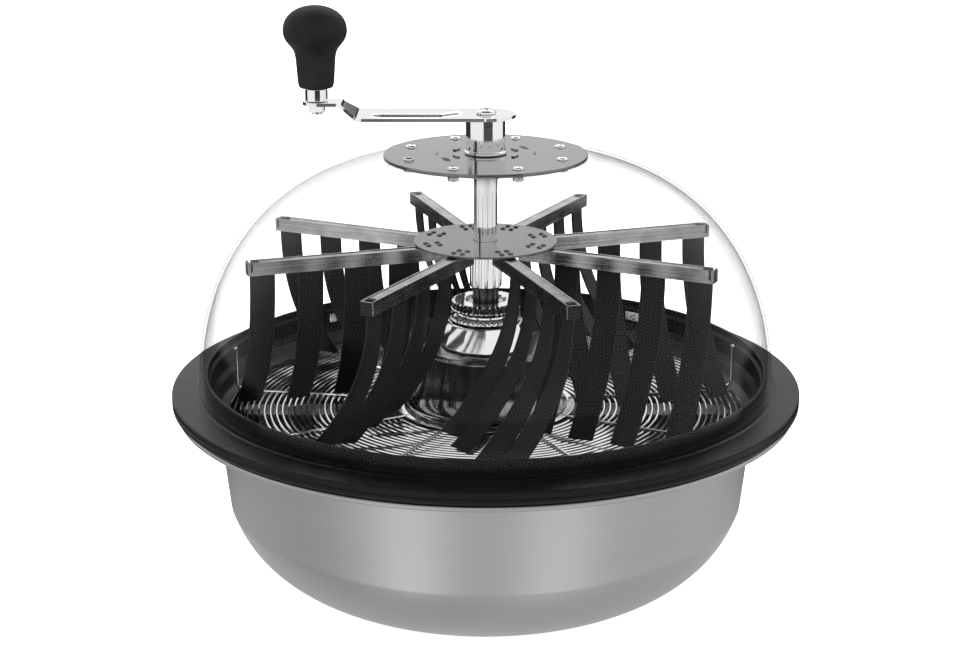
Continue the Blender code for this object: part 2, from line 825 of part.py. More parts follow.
def make_spider(parent):
    """The riveted plate. Its rivet heads are one with it."""
    low = SPIDER_TOP - SPIDER_SHEET
    outlines = [circle(SPIDER_RADIUS, 32), circle(SHAFT_RADIUS + GAP, TURNED)]
    spider = plate("spider_plate", outlines, low, SPIDER_TOP, "brushed_steel", parent)
    shape = bmesh.new()
    for index in range(ARM_COUNT):
        for radius in (0.038, 0.046):
            place = (*polar(radius, arm_angle(index)), SPIDER_TOP + 0.0002)
            bmesh.ops.create_cone(
                shape, cap_ends=True, segments=8, radius1=0.0024, radius2=0.0016, depth=0.0016,
                matrix=Matrix.Translation(place),
            )
    mesh = bpy.data.meshes.new("rivets")
    shape.to_mesh(mesh)
    shape.free()
    combine(spider, add("rivets", mesh, "brushed_steel", None), "UNION")


def make_arms(parent):
    """Eight channels, open below, that share one shape."""
    half = CHANNEL_SIZE / 2
    inner = half - CHANNEL_WALL
    section = [(-half, -half), (-half, half), (half, half), (half, -half)]
    section += [(inner, -half), (inner, inner), (-inner, inner), (-inner, -half)]
    curve = outline_curve("arm", [section], CHANNEL_END - CHANNEL_START)
    along = Matrix(((0, 0, 1, 0), (1, 0, 0, 0), (0, 1, 0, 0), (0, 0, 0, 1)))
    middle = (CHANNEL_START + CHANNEL_END) / 2
    height = SPIDER_TOP - SPIDER_SHEET - GAP - half
    for index in range(ARM_COUNT):
        arm = add(f"arm_{index + 1}", curve, "brushed_steel", parent)
        turn = Matrix.Rotation(math.radians(arm_angle(index)), 4, "Z")
        arm.matrix_basis = turn @ Matrix.Translation((middle, 0.0, height)) @ along


def strap_shift(height, top):
    """How far the hanging straps trail sideways at a height."""
    fall = max(top - height, 0.0) / (top - STRAP_BOTTOM)
    return -STRAP_SWEEP * fall**STRAP_CURVE


def comb_mesh():
    """Four straps under one bead, as a sheet in the plane of the arm that trails to one side."""
    half = CHANNEL_SIZE / 2
    top = SPIDER_TOP - SPIDER_SHEET - GAP - CHANNEL_WALL - GAP
    fall_from = SPIDER_TOP - SPIDER_SHEET - GAP - 2 * half
    edges = []
    for centre in STRAP_CENTRES:
        edges += [centre - STRAP_WIDTH / 2, centre + STRAP_WIDTH / 2]
    heights = [top]
    for i in range(STRAP_ROWS + 1):
        share = (i / STRAP_ROWS) ** 0.85
        heights.append(fall_from + (STRAP_BOTTOM - fall_from) * share)
    shape = bmesh.new()
    grid = []
    for height in heights:
        shift = strap_shift(height, fall_from)
        grid.append([shape.verts.new((x, shift, height)) for x in edges])
    for row, (upper, lower) in enumerate(zip(grid, grid[1:])):
        columns = range(len(edges) - 1) if row == 0 else range(0, len(edges) - 1, 2)
        for i in columns:
            shape.faces.new((upper[i], upper[i + 1], lower[i + 1], lower[i]))
    mesh = bpy.data.meshes.new("strap_comb")
    shape.to_mesh(mesh)
    shape.free()
    return mesh


def make_strap_combs(parent):
    sheet = add("strap_sheet", comb_mesh(), "black_rubber", None)
    solid = sheet.modifiers.new("Rubber", "SOLIDIFY")
    solid.thickness = STRAP_THICKNESS
    solid.offset = 0.0
    joined = evaluated_mesh(sheet)
    bpy.data.objects.remove(sheet)
    for index in range(ARM_COUNT):
        comb = add(f"strap_comb_{index + 1}", joined, "black_rubber", parent)
        comb.rotation_euler.z = math.radians(arm_angle(index))


def make_coupling(parent):
    """The spider's hub: a sleeve that takes the shaft's end, and a splined nose for the collar."""
    profile = [
        (0.0, SHAFT_END - GAP),
        (SHAFT_RADIUS + GAP, SHAFT_END - GAP),
        (SHAFT_RADIUS + GAP, SPIDER_TOP - SPIDER_SHEET - GAP),
        (0.0125, SPIDER_TOP - SPIDER_SHEET - GAP),
        (0.0125, 0.2440),
        (0.0115, 0.2430),
        (0.0, 0.2430),
    ]
    coupling = turned("shaft_coupling", profile, "polished_steel", parent, axis_ends=True)
    nose = plate(
        "nose", [spline_outline(0.0082, 0.0100)], 0.2195, 0.2440, "gear_steel", None
    )
    combine(coupling, nose, "UNION")


def build():
    bowl = body("bowl_body")
    make_bowl(bowl)
    make_grate(bowl)
    for index, degrees in enumerate(HOOK_ANGLES):
        make_hook(f"grate_hook_{index + 1}", degrees, bowl)
    make_housing(bowl)
    make_gearbox_floor(bowl)
    for index in range(PLANET_COUNT):
        make_planet(index, bowl)
    gear_input = body("input_body", bowl)
    make_ring_gear(gear_input)
    make_collar(gear_input)
    make_blade(body("blade_body", bowl))
    lid = body("lid_body", bowl)
    make_lid_ring(lid)
    make_dome(lid)
    make_top_plate(lid)
    make_plate_screws(lid)
    make_dome_clips(lid)
    crank = body("crank_body", lid)
    make_main_shaft(crank)
    make_crank_arm(crank)
    make_spider(crank)
    make_arms(crank)
    make_strap_combs(crank)
    make_coupling(crank)
    make_knob(crank, body("knob_axis", crank, (-KNOB_REACH, 0.0, 0.0)))


clear_scene()
PART = collection("bowl_leaf_trimmer")
CUTTERS = collection("cutters")
CUTTERS.hide_render = True
build()
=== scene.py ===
"""Looks of a hand-cranked bowl leaf trimmer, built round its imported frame. Metres, +Z up.

The object stands on its bowl with its axis on Z. Places and sizes come from the boxes of the
frame's nodes, and the small dimensions are offsets from them.
"""

import math
import random

import bmesh
import bpy
from mathutils import Matrix, Vector


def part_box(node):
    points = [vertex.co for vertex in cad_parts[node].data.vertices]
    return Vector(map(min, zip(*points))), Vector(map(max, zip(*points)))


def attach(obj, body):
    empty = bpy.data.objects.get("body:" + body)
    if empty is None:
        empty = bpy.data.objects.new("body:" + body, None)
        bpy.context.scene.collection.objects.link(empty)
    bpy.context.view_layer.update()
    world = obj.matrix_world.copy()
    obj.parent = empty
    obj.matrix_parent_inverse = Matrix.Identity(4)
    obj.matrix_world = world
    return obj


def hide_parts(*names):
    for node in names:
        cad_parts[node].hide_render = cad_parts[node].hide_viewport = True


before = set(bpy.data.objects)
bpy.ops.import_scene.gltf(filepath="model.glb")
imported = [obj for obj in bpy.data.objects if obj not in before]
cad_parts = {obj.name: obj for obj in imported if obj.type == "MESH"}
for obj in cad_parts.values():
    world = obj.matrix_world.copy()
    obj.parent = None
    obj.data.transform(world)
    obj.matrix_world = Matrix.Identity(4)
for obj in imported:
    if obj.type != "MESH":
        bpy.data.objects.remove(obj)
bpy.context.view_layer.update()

# Sides of turned pieces, from large to small.
RING_SIDES = 256
ROUND = 192
GRATE_SIDES = 144
SHAFT_SIDES = 96
SMALL = 64
TINY = 24

ON_AXIS = 1e-6  # a radius below this is a point on the axis
SAME_PLACE = 1e-7
SMOOTH_ANGLE = math.radians(35)
BEVEL_ANGLE = math.radians(32)
LEAST_BEND = math.radians(14)  # a corner that bends less isn't rounded

CAMERA_PLACE = (0.0, -1.44385, 0.6437)
CAMERA_PITCH = 16.862  # degrees downwards
CAMERA_LENS = 72.68
CAMERA_SENSOR = 36.0
CAMERA_SHIFT = -0.00586

# The powers of the curved walls, upwards and outwards. Two and two would be an ellipse.
DOME_POWERS = (2.033, 2.922)
BOWL_POWERS = (3.34, 2.79)
DOME_RISE = 0.1764  # had it no flat on top
DOME_WALL = 0.0025
BOWL_SHEET = 0.0010
SHEET = 0.0015

GRATE_DISC = 0.070  # radius of the plate in the middle of the grate
GRATE_PITCH = 0.0047
WIRE = 0.0009
SPOKE_STEP = math.radians(9)
SPOKES = (1, 5, 10, 15, 19, 23, 27, 33, 37)  # in steps

SHAFT_BORE = 0.0093
PLATE_BORE = 0.0145
NOSE = 0.0100  # radius of the coupling's splined end
SOCKET_PLAY = 0.0006
SPLINES = 12

ARMS = 8
CHANNEL = 0.010
STRAP_WIDTH = 0.019
STRAP_THICKNESS = 0.0018
STRAP_SWEEP = 0.052
STRAP_CURVE = 2.2
STRAP_CENTRES = (0.068, 0.1025, 0.138, 0.175)
# How far the straps of each comb are turned at their ends, in radians.
STRAP_LEANS = (-0.85, 0.0, 0.0, 0.0, 0.0, 0.0, 0.0, 0.60)
STRAP_SEED = 11


# Places in the frame.


def low(node):
    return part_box(node)[0]


def high(node):
    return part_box(node)[1]


def centre(node):
    return (low(node) + high(node)) / 2


def bearing(node):
    """The angle of a node's middle about the object's axis."""
    middle = centre(node)
    return math.atan2(middle.y, middle.x)


def polar(radius, angle, height=0.0):
    return Vector((radius * math.cos(angle), radius * math.sin(angle), height))


# Mesh building.


def turn(shape, profile, sides, place=None, reach=None):
    """Adds a solid of revolution to a bmesh. A profile off the axis is closed to a ring.

    reach(radius, height, i) gives the radius at side i, where the section isn't round.
    """
    place = place or Matrix.Identity(4)
    rings = []
    for radius, height in profile:
        if radius < ON_AXIS:
            rings.append([shape.verts.new(place @ Vector((0.0, 0.0, height)))])
            continue
        ring = []
        for i in range(sides):
            out = radius if reach is None else reach(radius, height, i)
            ring.append(shape.verts.new(place @ polar(out, math.tau * i / sides, height)))
        rings.append(ring)
    pairs = list(zip(rings, rings[1:]))
    if len(rings[0]) > 1:
        pairs.append((rings[-1], rings[0]))
    for near, far in pairs:
        for i in range(sides):
            j = (i + 1) % sides
            there = [near[i % len(near)], near[j % len(near)]]
            back = [far[j % len(far)], far[i % len(far)]]
            corners = list(dict.fromkeys(there + back))
            if len(corners) > 2:
                shape.faces.new(corners)


def rounded(points, radius, closed=True, steps=3):
    """The outline with its clear corners turned into short curves."""
    made = []
    count = len(points)
    for i, point in enumerate(points):
        here = Vector(point)
        if not closed and i in (0, count - 1):
            made.append(tuple(here))
            continue
        back = Vector(points[i - 1]) - here
        on = Vector(points[(i + 1) % count]) - here
        if min(back.length, on.length) < SAME_PLACE:
            continue
        if math.pi - back.angle(on) < LEAST_BEND:
            made.append(tuple(here))
            continue
        cut = min(radius, 0.45 * back.length, 0.45 * on.length)
        start = here + back.normalized() * cut
        end = here + on.normalized() * cut
        for step in range(steps + 1):
            t = step / steps
            made.append(tuple((1 - t) ** 2 * start + 2 * t * (1 - t) * here + t * t * end))
    return made


def offset(points, distance):
    """The open polyline moved to the left of its direction."""
    moved = []
    for i, (x, y) in enumerate(points):
        x0, y0 = points[max(i - 1, 0)]
        x1, y1 = points[min(i + 1, len(points) - 1)]
        length = math.hypot(x1 - x0, y1 - y0)
        moved.append((x - distance * (y1 - y0) / length, y + distance * (x1 - x0) / length))
    return moved


def skin(shape, rings):
    """Joins rings of vertices with faces and closes both ends."""
    count = len(rings[0])
    for near, far in zip(rings, rings[1:]):
        for j in range(count):
            k = (j + 1) % count
            shape.faces.new((near[j], near[k], far[k], far[j]))
    shape.faces.new(rings[0][::-1])
    shape.faces.new(rings[-1])


def sweep(shape, points, radius, sides, swell=None):
    """Adds a round bar along points, with flat ends. Swell scales its radius at each point."""
    points = [Vector(p) for p in points]
    across = None
    rings = []
    for i, point in enumerate(points):
        along = (points[min(i + 1, len(points) - 1)] - points[max(i - 1, 0)]).normalized()
        if across is None:
            across = along.orthogonal().normalized()
        across = (across - along * across.dot(along)).normalized()
        other = along.cross(across)
        size = radius * (swell[i] if swell else 1.0)
        ring = []
        for j in range(sides):
            angle = math.tau * j / sides
            out = math.cos(angle) * across + math.sin(angle) * other
            ring.append(shape.verts.new(point + size * out))
        rings.append(ring)
    skin(shape, rings)


def extrude(shape, outline, start, end, place=None):
    """Adds a prism: an outline of (x, y) between two heights."""
    place = place or Matrix.Identity(4)
    lower = [shape.verts.new(place @ Vector((x, y, start))) for x, y in outline]
    upper = [shape.verts.new(place @ Vector((x, y, end))) for x, y in outline]
    skin(shape, [lower, upper])


def block(shape, lowest, highest, place=None):
    x0, y0, z0 = lowest
    x1, y1, z1 = highest
    extrude(shape, [(x0, y0), (x1, y0), (x1, y1), (x0, y1)], z0, z1, place)


def to_mesh(name, shape, angle=SMOOTH_ANGLE):
    """The bmesh as a mesh, sharp where it bends by more than the angle."""
    mesh = bpy.data.meshes.new(name)
    bmesh.ops.recalc_face_normals(shape, faces=shape.faces)
    shape.to_mesh(mesh)
    shape.free()
    mesh.shade_smooth()
    mesh.set_sharp_from_angle(angle=angle)
    return mesh


def block_mesh(lowest, highest):
    shape = bmesh.new()
    block(shape, lowest, highest)
    return to_mesh("block", shape)


def placed(name, data):
    """A new object in the scene."""
    obj = bpy.data.objects.new(name, data)
    bpy.context.scene.collection.objects.link(obj)
    return obj


def settled(obj):
    """The object's mesh with its modifiers applied. The object itself is removed."""
    bpy.context.view_layer.update()
    graph = bpy.context.evaluated_depsgraph_get()
    made = bpy.data.meshes.new_from_object(obj.evaluated_get(graph))
    bpy.data.objects.remove(obj)
    return made


def worked(mesh, cutters=(), added=(), bevel=0.0, segments=2):
    """The mesh with others cut out or joined on, and its edges rounded."""
    base = placed("base", mesh)
    tools = []
    steps = [(other, "DIFFERENCE") for other in cutters] + [(other, "UNION") for other in added]
    for other, operation in steps:
        tool = placed("tool", other)
        tools.append(tool)
        modifier = base.modifiers.new(operation, "BOOLEAN")
        modifier.operation = operation
        modifier.solver = "EXACT"
        modifier.object = tool
    if bevel:
        edge = base.modifiers.new("Edges", "BEVEL")
        edge.width = bevel
        edge.segments = segments
        edge.limit_method = "ANGLE"
        edge.angle_limit = BEVEL_ANGLE
    made = settled(base)
    for tool in tools:
        bpy.data.objects.remove(tool)
    made.shade_smooth()
    made.set_sharp_from_angle(angle=SMOOTH_ANGLE)
    return made


def weighted(mesh):
    """The mesh with its large faces shaded flat, so only the fillets bend the light."""
    obj = placed("weighted", mesh)
    modifier = obj.modifiers.new("Weighted", "WEIGHTED_NORMAL")
    modifier.keep_sharp = True
    return settled(obj)


def stand_in(name, mesh, paint, body, place=None):
    """A piece that rides on a body and stands for the CAD node of the same name."""
    if not mesh.materials:
        mesh.materials.append(paint)
    obj = placed(name + "_look", weighted(mesh))
    if place is not None:
        obj.matrix_world = place
    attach(obj, body)
    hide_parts(name)
    return obj


def turned(name, profile, paint, body, sides, fillet, place=None):
    shape = bmesh.new()
    on_axis = profile[0][0] < ON_AXIS
    turn(shape, rounded(profile, fillet, closed=not on_axis), sides)
    return stand_in(name, to_mesh(name, shape), paint, body, place)


# Materials.


def add(tree, kind, inputs=None, **settings):
    """A new node. Each input is a value or the socket that feeds it."""
    made = tree.nodes.new(kind)
    for key, value in settings.items():
        setattr(made, key, value)
    for key, value in (inputs or {}).items():
        if isinstance(value, bpy.types.NodeSocket):
            tree.links.new(value, made.inputs[key])
        else:
            made.inputs[key].default_value = value
    return made


def calc(tree, operation, *values):
    made = add(tree, "ShaderNodeMath", dict(enumerate(values)), operation=operation)
    return made.outputs["Value"]


def start(name, roughness, metallic):
    made = bpy.data.materials.new(name)
    made.use_nodes = True
    tree = made.node_tree
    shader = tree.nodes["Principled BSDF"]
    shader.inputs["Roughness"].default_value = roughness
    shader.inputs["Metallic"].default_value = metallic
    return made, tree, shader


def local(tree, scale=(1.0, 1.0, 1.0)):
    """Coordinates of the piece itself, in metres times the scale."""
    coords = add(tree, "ShaderNodeTexCoord").outputs["Object"]
    return add(tree, "ShaderNodeMapping", {"Vector": coords, "Scale": scale}).outputs["Vector"]


def spun(tree, scale):
    """Coordinates that only change with the distance from the axis and the height."""
    coords = add(tree, "ShaderNodeTexCoord").outputs["Object"]
    parts = add(tree, "ShaderNodeSeparateXYZ", {"Vector": coords}).outputs
    flat = add(tree, "ShaderNodeCombineXYZ", {"X": parts["X"], "Y": parts["Y"]}).outputs["Vector"]
    radius = add(tree, "ShaderNodeVectorMath", {0: flat}, operation="LENGTH").outputs["Value"]
    lines = add(tree, "ShaderNodeCombineXYZ", {"X": radius, "Y": parts["Z"]}).outputs["Vector"]
    inputs = {"Vector": lines, "Scale": (scale,) * 3}
    return add(tree, "ShaderNodeMapping", inputs).outputs["Vector"]


def noise(tree, vector, scale, detail):
    inputs = {"Vector": vector, "Scale": scale, "Detail": detail}
    return add(tree, "ShaderNodeTexNoise", inputs).outputs["Fac"]


NOISE_LOW, NOISE_HIGH = 0.3, 0.7  # most of a noise's values lie between these


def spread(tree, value, least, most, start_at=NOISE_LOW, end_at=NOISE_HIGH):
    """The value, which runs from start_at to end_at, made to run from least to most."""
    inputs = {"Value": value, "From Min": start_at, "From Max": end_at}
    inputs |= {"To Min": least, "To Max": most}
    return add(tree, "ShaderNodeMapRange", inputs).outputs["Result"]


def tint(tree, value, dark, light, start_at=NOISE_LOW, end_at=NOISE_HIGH):
    ramp = add(tree, "ShaderNodeValToRGB", {"Fac": value})
    first, last = ramp.color_ramp.elements
    first.position, first.color = start_at, (*dark, 1.0)
    last.position, last.color = end_at, (*light, 1.0)
    return ramp.outputs["Color"]


def mixed(tree, first, second, share):
    inputs = {"Factor": share, "A": first, "B": second}
    return add(tree, "ShaderNodeMix", inputs, data_type="FLOAT").outputs["Result"]


def bump(tree, shader, height, strength, distance):
    inputs = {"Height": height, "Strength": strength, "Distance": distance}
    normal = add(tree, "ShaderNodeBump", inputs).outputs["Normal"]
    tree.links.new(normal, shader.inputs["Normal"])


def grained(tree, shader, value, colours, roughnesses):
    """Lets a noise set the colour and the roughness, each between two values."""
    tree.links.new(tint(tree, value, *colours), shader.inputs["Base Color"])
    tree.links.new(spread(tree, value, *roughnesses), shader.inputs["Roughness"])


def grey(value):
    return (value, value, value)


# Finishes, as the coordinates of their grain.


def spun_wide(tree):
    return spun(tree, 300.0)


def spun_fine(tree):
    return spun(tree, 900.0)


def along_x(tree):
    return local(tree, (14.0, 950.0, 950.0))


def upright(tree):
    return local(tree, (160.0, 160.0, 6.0))


def polished(tree):
    return local(tree, (60.0, 60.0, 900.0))


# Colour from dark to light, roughness from smooth to rough, the finish, how strongly its grain
# bends the light, and how many smudges there are in a metre.
METALS = {
    "stainless": (0.40, 0.44, 0.34, 0.40, spun_wide, 0.015, 7.0),
    # Painted shade: the bowl's inside is given a much darker colour than its steel, as if in
    # shadow.
    "bowl_painted_shade": (0.07, 0.12, 0.40, 0.50, spun_fine, 0.08, 12.0),
    "bright_steel": (0.86, 0.93, 0.10, 0.22, polished, 0.05, 40.0),
    "polished_steel": (0.86, 0.92, 0.05, 0.10, polished, 0.03, 25.0),
    "drum_steel": (0.05, 0.36, 0.10, 0.18, upright, 0.10, 20.0),
    "brushed_steel": (0.27, 0.66, 0.16, 0.28, along_x, 0.5, 90.0),
    "brushed_light": (0.80, 0.92, 0.08, 0.14, along_x, 0.06, 14.0),
    "plate_steel": (0.17, 0.23, 0.08, 0.14, along_x, 0.05, 10.0),
    "blade_steel": (0.08, 0.14, 0.34, 0.45, along_x, 0.2, 20.0),
    "gear_steel": (0.30, 0.40, 0.30, 0.45, polished, 0.25, 60.0),
    "bronze": ((0.45, 0.27, 0.10), (0.62, 0.42, 0.20), 0.25, 0.42, polished, 0.2, 60.0),
}
METAL_GRAIN = 0.00002  # depth in metres

# Grey from dark to light, roughness from smooth to rough, grains in a metre, how strongly they bend
# the light, their depth in metres, and the specular level.
BLACKS = {
    "black_plastic": (0.002, 0.004, 0.26, 0.34, 900.0, 0.05, 0.00002, 0.14),
    "black_rubber": (0.003, 0.008, 0.40, 0.50, 600.0, 0.10, 0.00004, 0.20),
    "knob_grip": (0.003, 0.010, 0.50, 0.66, 700.0, 0.5, 0.00015, 0.18),
}


def metal(name, dark, light, smooth, rough, finish, strength, smudges):
    made, tree, shader = start(name, rough, 1.0)
    grain = noise(tree, finish(tree), 1.0, 2.0)
    broad = noise(tree, local(tree), smudges, 4.0)
    both = mixed(tree, grain, broad, 0.45)
    if isinstance(dark, float):
        dark, light = grey(dark), grey(light)
    grained(tree, shader, both, (dark, light), (smooth, rough))
    bump(tree, shader, grain, strength, METAL_GRAIN)
    return made


def black(name, dark, light, smooth, rough, grains, strength, depth, specular):
    made, tree, shader = start(name, rough, 0.0)
    where = local(tree)
    grain = noise(tree, where, grains, 2.0)
    broad = noise(tree, where, 30.0, 5.0)
    both = mixed(tree, grain, broad, 0.6)
    grained(tree, shader, both, (grey(dark), grey(light)), (smooth, rough))
    shader.inputs["Specular IOR Level"].default_value = specular
    bump(tree, shader, grain, strength, depth)
    return made


def clear_shell():
    """Clear moulded acrylic. It lets the view through, greyed towards its edges as painted shade,
    and mirrors more towards its edges.
    """
    made, tree, shader = start("clear_acrylic", 0.03, 1.0)
    broad = noise(tree, local(tree), 6.0, 2.0)
    tree.links.new(spread(tree, broad, 0.02, 0.05), shader.inputs["Roughness"])
    shader.inputs["Base Color"].default_value = (0.93, 0.94, 0.95, 1.0)
    edge = add(tree, "ShaderNodeLayerWeight", {"Blend": 0.5}).outputs["Facing"]
    # Painted shade: what shows through is tinted grey where the shell is seen edge on.
    shade = tint(tree, edge, grey(0.995), grey(0.79), 0.25, 1.0)
    through = add(tree, "ShaderNodeBsdfTransparent", {"Color": shade}).outputs["BSDF"]
    steep = calc(tree, "POWER", edge, 5.0)
    share = spread(tree, steep, 0.004, 0.40, 0.0, 1.0)
    inputs = {"Fac": share, 1: through, 2: shader.outputs["BSDF"]}
    surface = add(tree, "ShaderNodeMixShader", inputs).outputs["Shader"]
    tree.links.new(surface, tree.nodes["Material Output"].inputs["Surface"])
    return made


def make_looks():
    looks = {name: metal(name, *values) for name, values in METALS.items()}
    looks |= {name: black(name, *values) for name, values in BLACKS.items()}
    looks["clear_acrylic"] = clear_shell()
    return looks


# The bowl and its grate.


def make_bowl(paint, shaded):
    """The spun bowl. Its inside, which holds cut leaves, is a little rougher than its outside and
    is painted much darker, as painted shade under the lid.
    """
    rim, top = high("bowl").x, high("bowl").z
    bead = 0.0023  # radius of the rolled edge
    under = top - 0.0001 - BOWL_SHEET
    wall, ledge = rim - 0.0314, top - 0.0122
    # The wall's curve goes from wall, at the height spring, to inner, lower by depth.
    spring, depth, inner = top - 0.0027, top - 0.0007, 0.0124
    along, across = BOWL_POWERS
    outside = [
        (rim - 2 * bead, under),
        (wall + 0.0045, under),
        (wall + 0.0012, ledge + 0.0026),
        (wall - 0.0053, ledge),
        (wall - 0.0003, ledge - 0.0028),
    ]
    first, steps = 0.32, 56  # the curve starts past the ledge, at an angle of first
    last = math.asin((spring / depth) ** (along / 2))
    for i in range(steps + 1):
        angle = first + (last - first) * i / steps
        height = spring - depth * math.sin(angle) ** (2 / along)
        radius = inner + (wall - inner) * math.cos(angle) ** (2 / across)
        outside.append((radius, max(height, 0.0)))
    inside = offset(outside, -BOWL_SHEET)
    inside[0] = (outside[0][0] - 0.0002, top - 0.0001)
    inside[-1] = (outside[-1][0] - 0.0006, BOWL_SHEET)
    hub = Vector((rim - bead, top - bead))
    turns = [math.radians(90 - 20 * i) for i in range(13)]
    roll = [tuple(hub + bead * Vector((math.cos(a), math.sin(a)))) for a in turns]
    profile = [(0.0, BOWL_SHEET), *inside[::-1], *roll, *outside, (0.0, 0.0)]
    shape = bmesh.new()
    turn(shape, rounded(profile, 0.0012, closed=False), ROUND)
    mesh = to_mesh("bowl", shape)
    mesh.materials.append(paint)
    mesh.materials.append(shaded)
    # The inside faces under the flange take the dark paint: painted shade.
    for face in mesh.polygons:
        flat = Vector((face.center.x, face.center.y, 0.0))
        faces_in = face.normal.z > 0.5 or face.normal.dot(flat) < 0
        if faces_in and face.center.z < under and flat.length < wall + 0.005:
            face.material_index = 1
    stand_in("bowl", mesh, paint, "bowl")


def make_grate(paint):
    """Concentric wires under radial ones, welded where they cross, round a disc."""
    outer = high("grate").x - WIRE
    base = centre("grate").z - 0.0004
    crossing = base + 0.7 * WIRE
    angles = [math.tau * i / 6 for i in range(6)]
    section = [(WIRE * math.cos(a), WIRE * math.sin(a)) for a in angles]
    shape = bmesh.new()
    count = round((outer - GRATE_DISC) / GRATE_PITCH)
    radii = [GRATE_DISC + (outer - GRATE_DISC) * (i + 1) / count for i in range(count)]
    for radius in radii:
        turn(shape, [(radius + x, base + y) for x, y in section], GRATE_SIDES)
    reaches = (GRATE_DISC - 0.004, (GRATE_DISC + outer) / 2, outer + WIRE)
    for spoke in SPOKES:
        angle = SPOKE_STEP * spoke
        points = [polar(reach, angle, base + 1.5 * WIRE) for reach in reaches]
        sweep(shape, points, 1.15 * WIRE, 8)
        for radius in radii:
            weld = Matrix.Translation(polar(radius, angle, crossing))
            bmesh.ops.create_icosphere(shape, subdivisions=1, radius=1.5 * WIRE, matrix=weld)
    bore, under = 0.0125, low("grate").z
    over = under + 0.0029
    plate = [(bore, under), (bore, over), (GRATE_DISC, over), (GRATE_DISC, under)]
    turn(shape, rounded(plate, 0.0006), ROUND)
    stand_in("grate", to_mesh("grate", shape), paint, "bowl")


def make_hook(name, paint):
    """The turned-up end of a radial wire with its little ball."""
    angle = bearing(name)
    lowest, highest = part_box(name)
    reach, bend, wire, ball = 0.2015, 0.004, 0.00105, 0.0016
    foot, top = lowest.z + 0.0011, highest.z - ball
    side = [(reach - 0.016, foot + 0.0002), (reach - 0.008, foot + 0.0001)]
    for i in range(7):
        up = math.radians(-90 + 15 * i)
        side.append((reach - bend + bend * math.cos(up), foot + bend + bend * math.sin(up)))
    side += [(reach, (foot + top) / 2), (reach, top)]
    shape = bmesh.new()
    sweep(shape, [polar(r, angle, z) for r, z in side], wire, 10)
    tip = Matrix.Translation(polar(reach, angle, top))
    bmesh.ops.create_uvsphere(shape, u_segments=16, v_segments=10, radius=ball, matrix=tip)
    stand_in(name, to_mesh(name, shape), paint, "bowl")


# The gearbox.


def make_housing(paint):
    """The drum, with a flared foot."""
    foot, top = low("gearbox_housing").z, high("gearbox_housing").z
    base = high("gearbox_housing").x
    drum, hole = base - 0.014, 0.0252
    flare_width, flare_height = 0.0125, 0.022
    flare = [(drum, foot + 0.024)]
    for i in range(1, 11):
        angle = math.radians(9 * i)
        out = flare_width * (1 - math.cos(angle))
        flare.append((drum + out, foot + 0.0020 + flare_height * (1 - math.sin(angle))))
    profile = [
        (hole, top),
        (drum - 0.0030, top - 0.0003),
        (drum, top - 0.0030),
        *flare,
        (base, foot + 0.0016),
        (base, foot),
        (drum, foot),
        (drum - 0.0024, foot + 0.0041),
        (drum - 0.0024, top - 0.0031),
        (hole, top - 0.0031),
    ]
    turned("gearbox_housing", profile, paint, "bowl", ROUND, 0.0008)


def make_cap(paint):
    """The faceted cone between the drum and the collar."""
    base, top = low("gearbox_cap").z, high("gearbox_cap").z
    wide = high("gearbox_cap").x
    bore, spigot, facets = 0.0168, 0.0249, 12
    profile = [
        (bore, top),
        (0.0290, top),
        (0.0300, top - 0.0013),
        (wide, base + 0.0050),
        (wide - 0.0008, base + 0.0039),
        (spigot, base + 0.0039),
        (spigot, base),
        (bore, base),
    ]
    shape = bmesh.new()
    turn(shape, profile, facets)
    mesh = worked(to_mesh("gearbox_cap", shape, math.radians(8)), bevel=0.0005, segments=3)
    mesh.set_sharp_from_angle(angle=math.radians(20))
    stand_in("gearbox_cap", mesh, paint, "bowl")


def make_collar(paint):
    """The driven socket: a slotted crown over a plain groove, and a ribbed foot."""
    base, top = low("input_collar").z, high("input_collar").z
    wide = high("input_collar").x
    slots, slot_depth, sides_per_slot = 40, 0.0011, 4

    def slotted(radius, height, i):
        in_crown = height > top - 0.0062 and radius > 0.020
        in_foot = base + 0.0012 < height < base + 0.0042 and radius > 0.020
        if (in_crown or in_foot) and i % sides_per_slot in (0, 1):
            return radius - slot_depth
        return radius

    crown, mouth = wide - 0.0012, 0.0155
    socket = NOSE + SOCKET_PLAY
    floor = low("shaft_coupling").z - 0.0005
    profile = [
        (0.0, floor),
        (socket, floor),
        (socket, top - 0.0100),
        (mouth, top - 0.0078),
        (mouth, top - 0.0006),
        (mouth + 0.0007, top),
        (crown - 0.0012, top),
        (crown, top - 0.0010),
        (crown, top - 0.0060),
        (crown + 0.0004, top - 0.0064),
        (crown + 0.0004, top - 0.0072),
        (wide - 0.0040, top - 0.0076),
        (wide - 0.0040, top - 0.0098),
        (wide - 0.0004, top - 0.0102),
        (wide - 0.0004, top - 0.0112),
        (wide - 0.0008, base + 0.0014),
        (wide, base + 0.0012),
        (wide, base),
        (0.0, base),
    ]
    shape = bmesh.new()
    turn(shape, profile, sides_per_slot * slots, reach=slotted)
    mesh = to_mesh("input_collar", shape)
    stand_in("input_collar", mesh, paint, "gear_input")


# The lid.


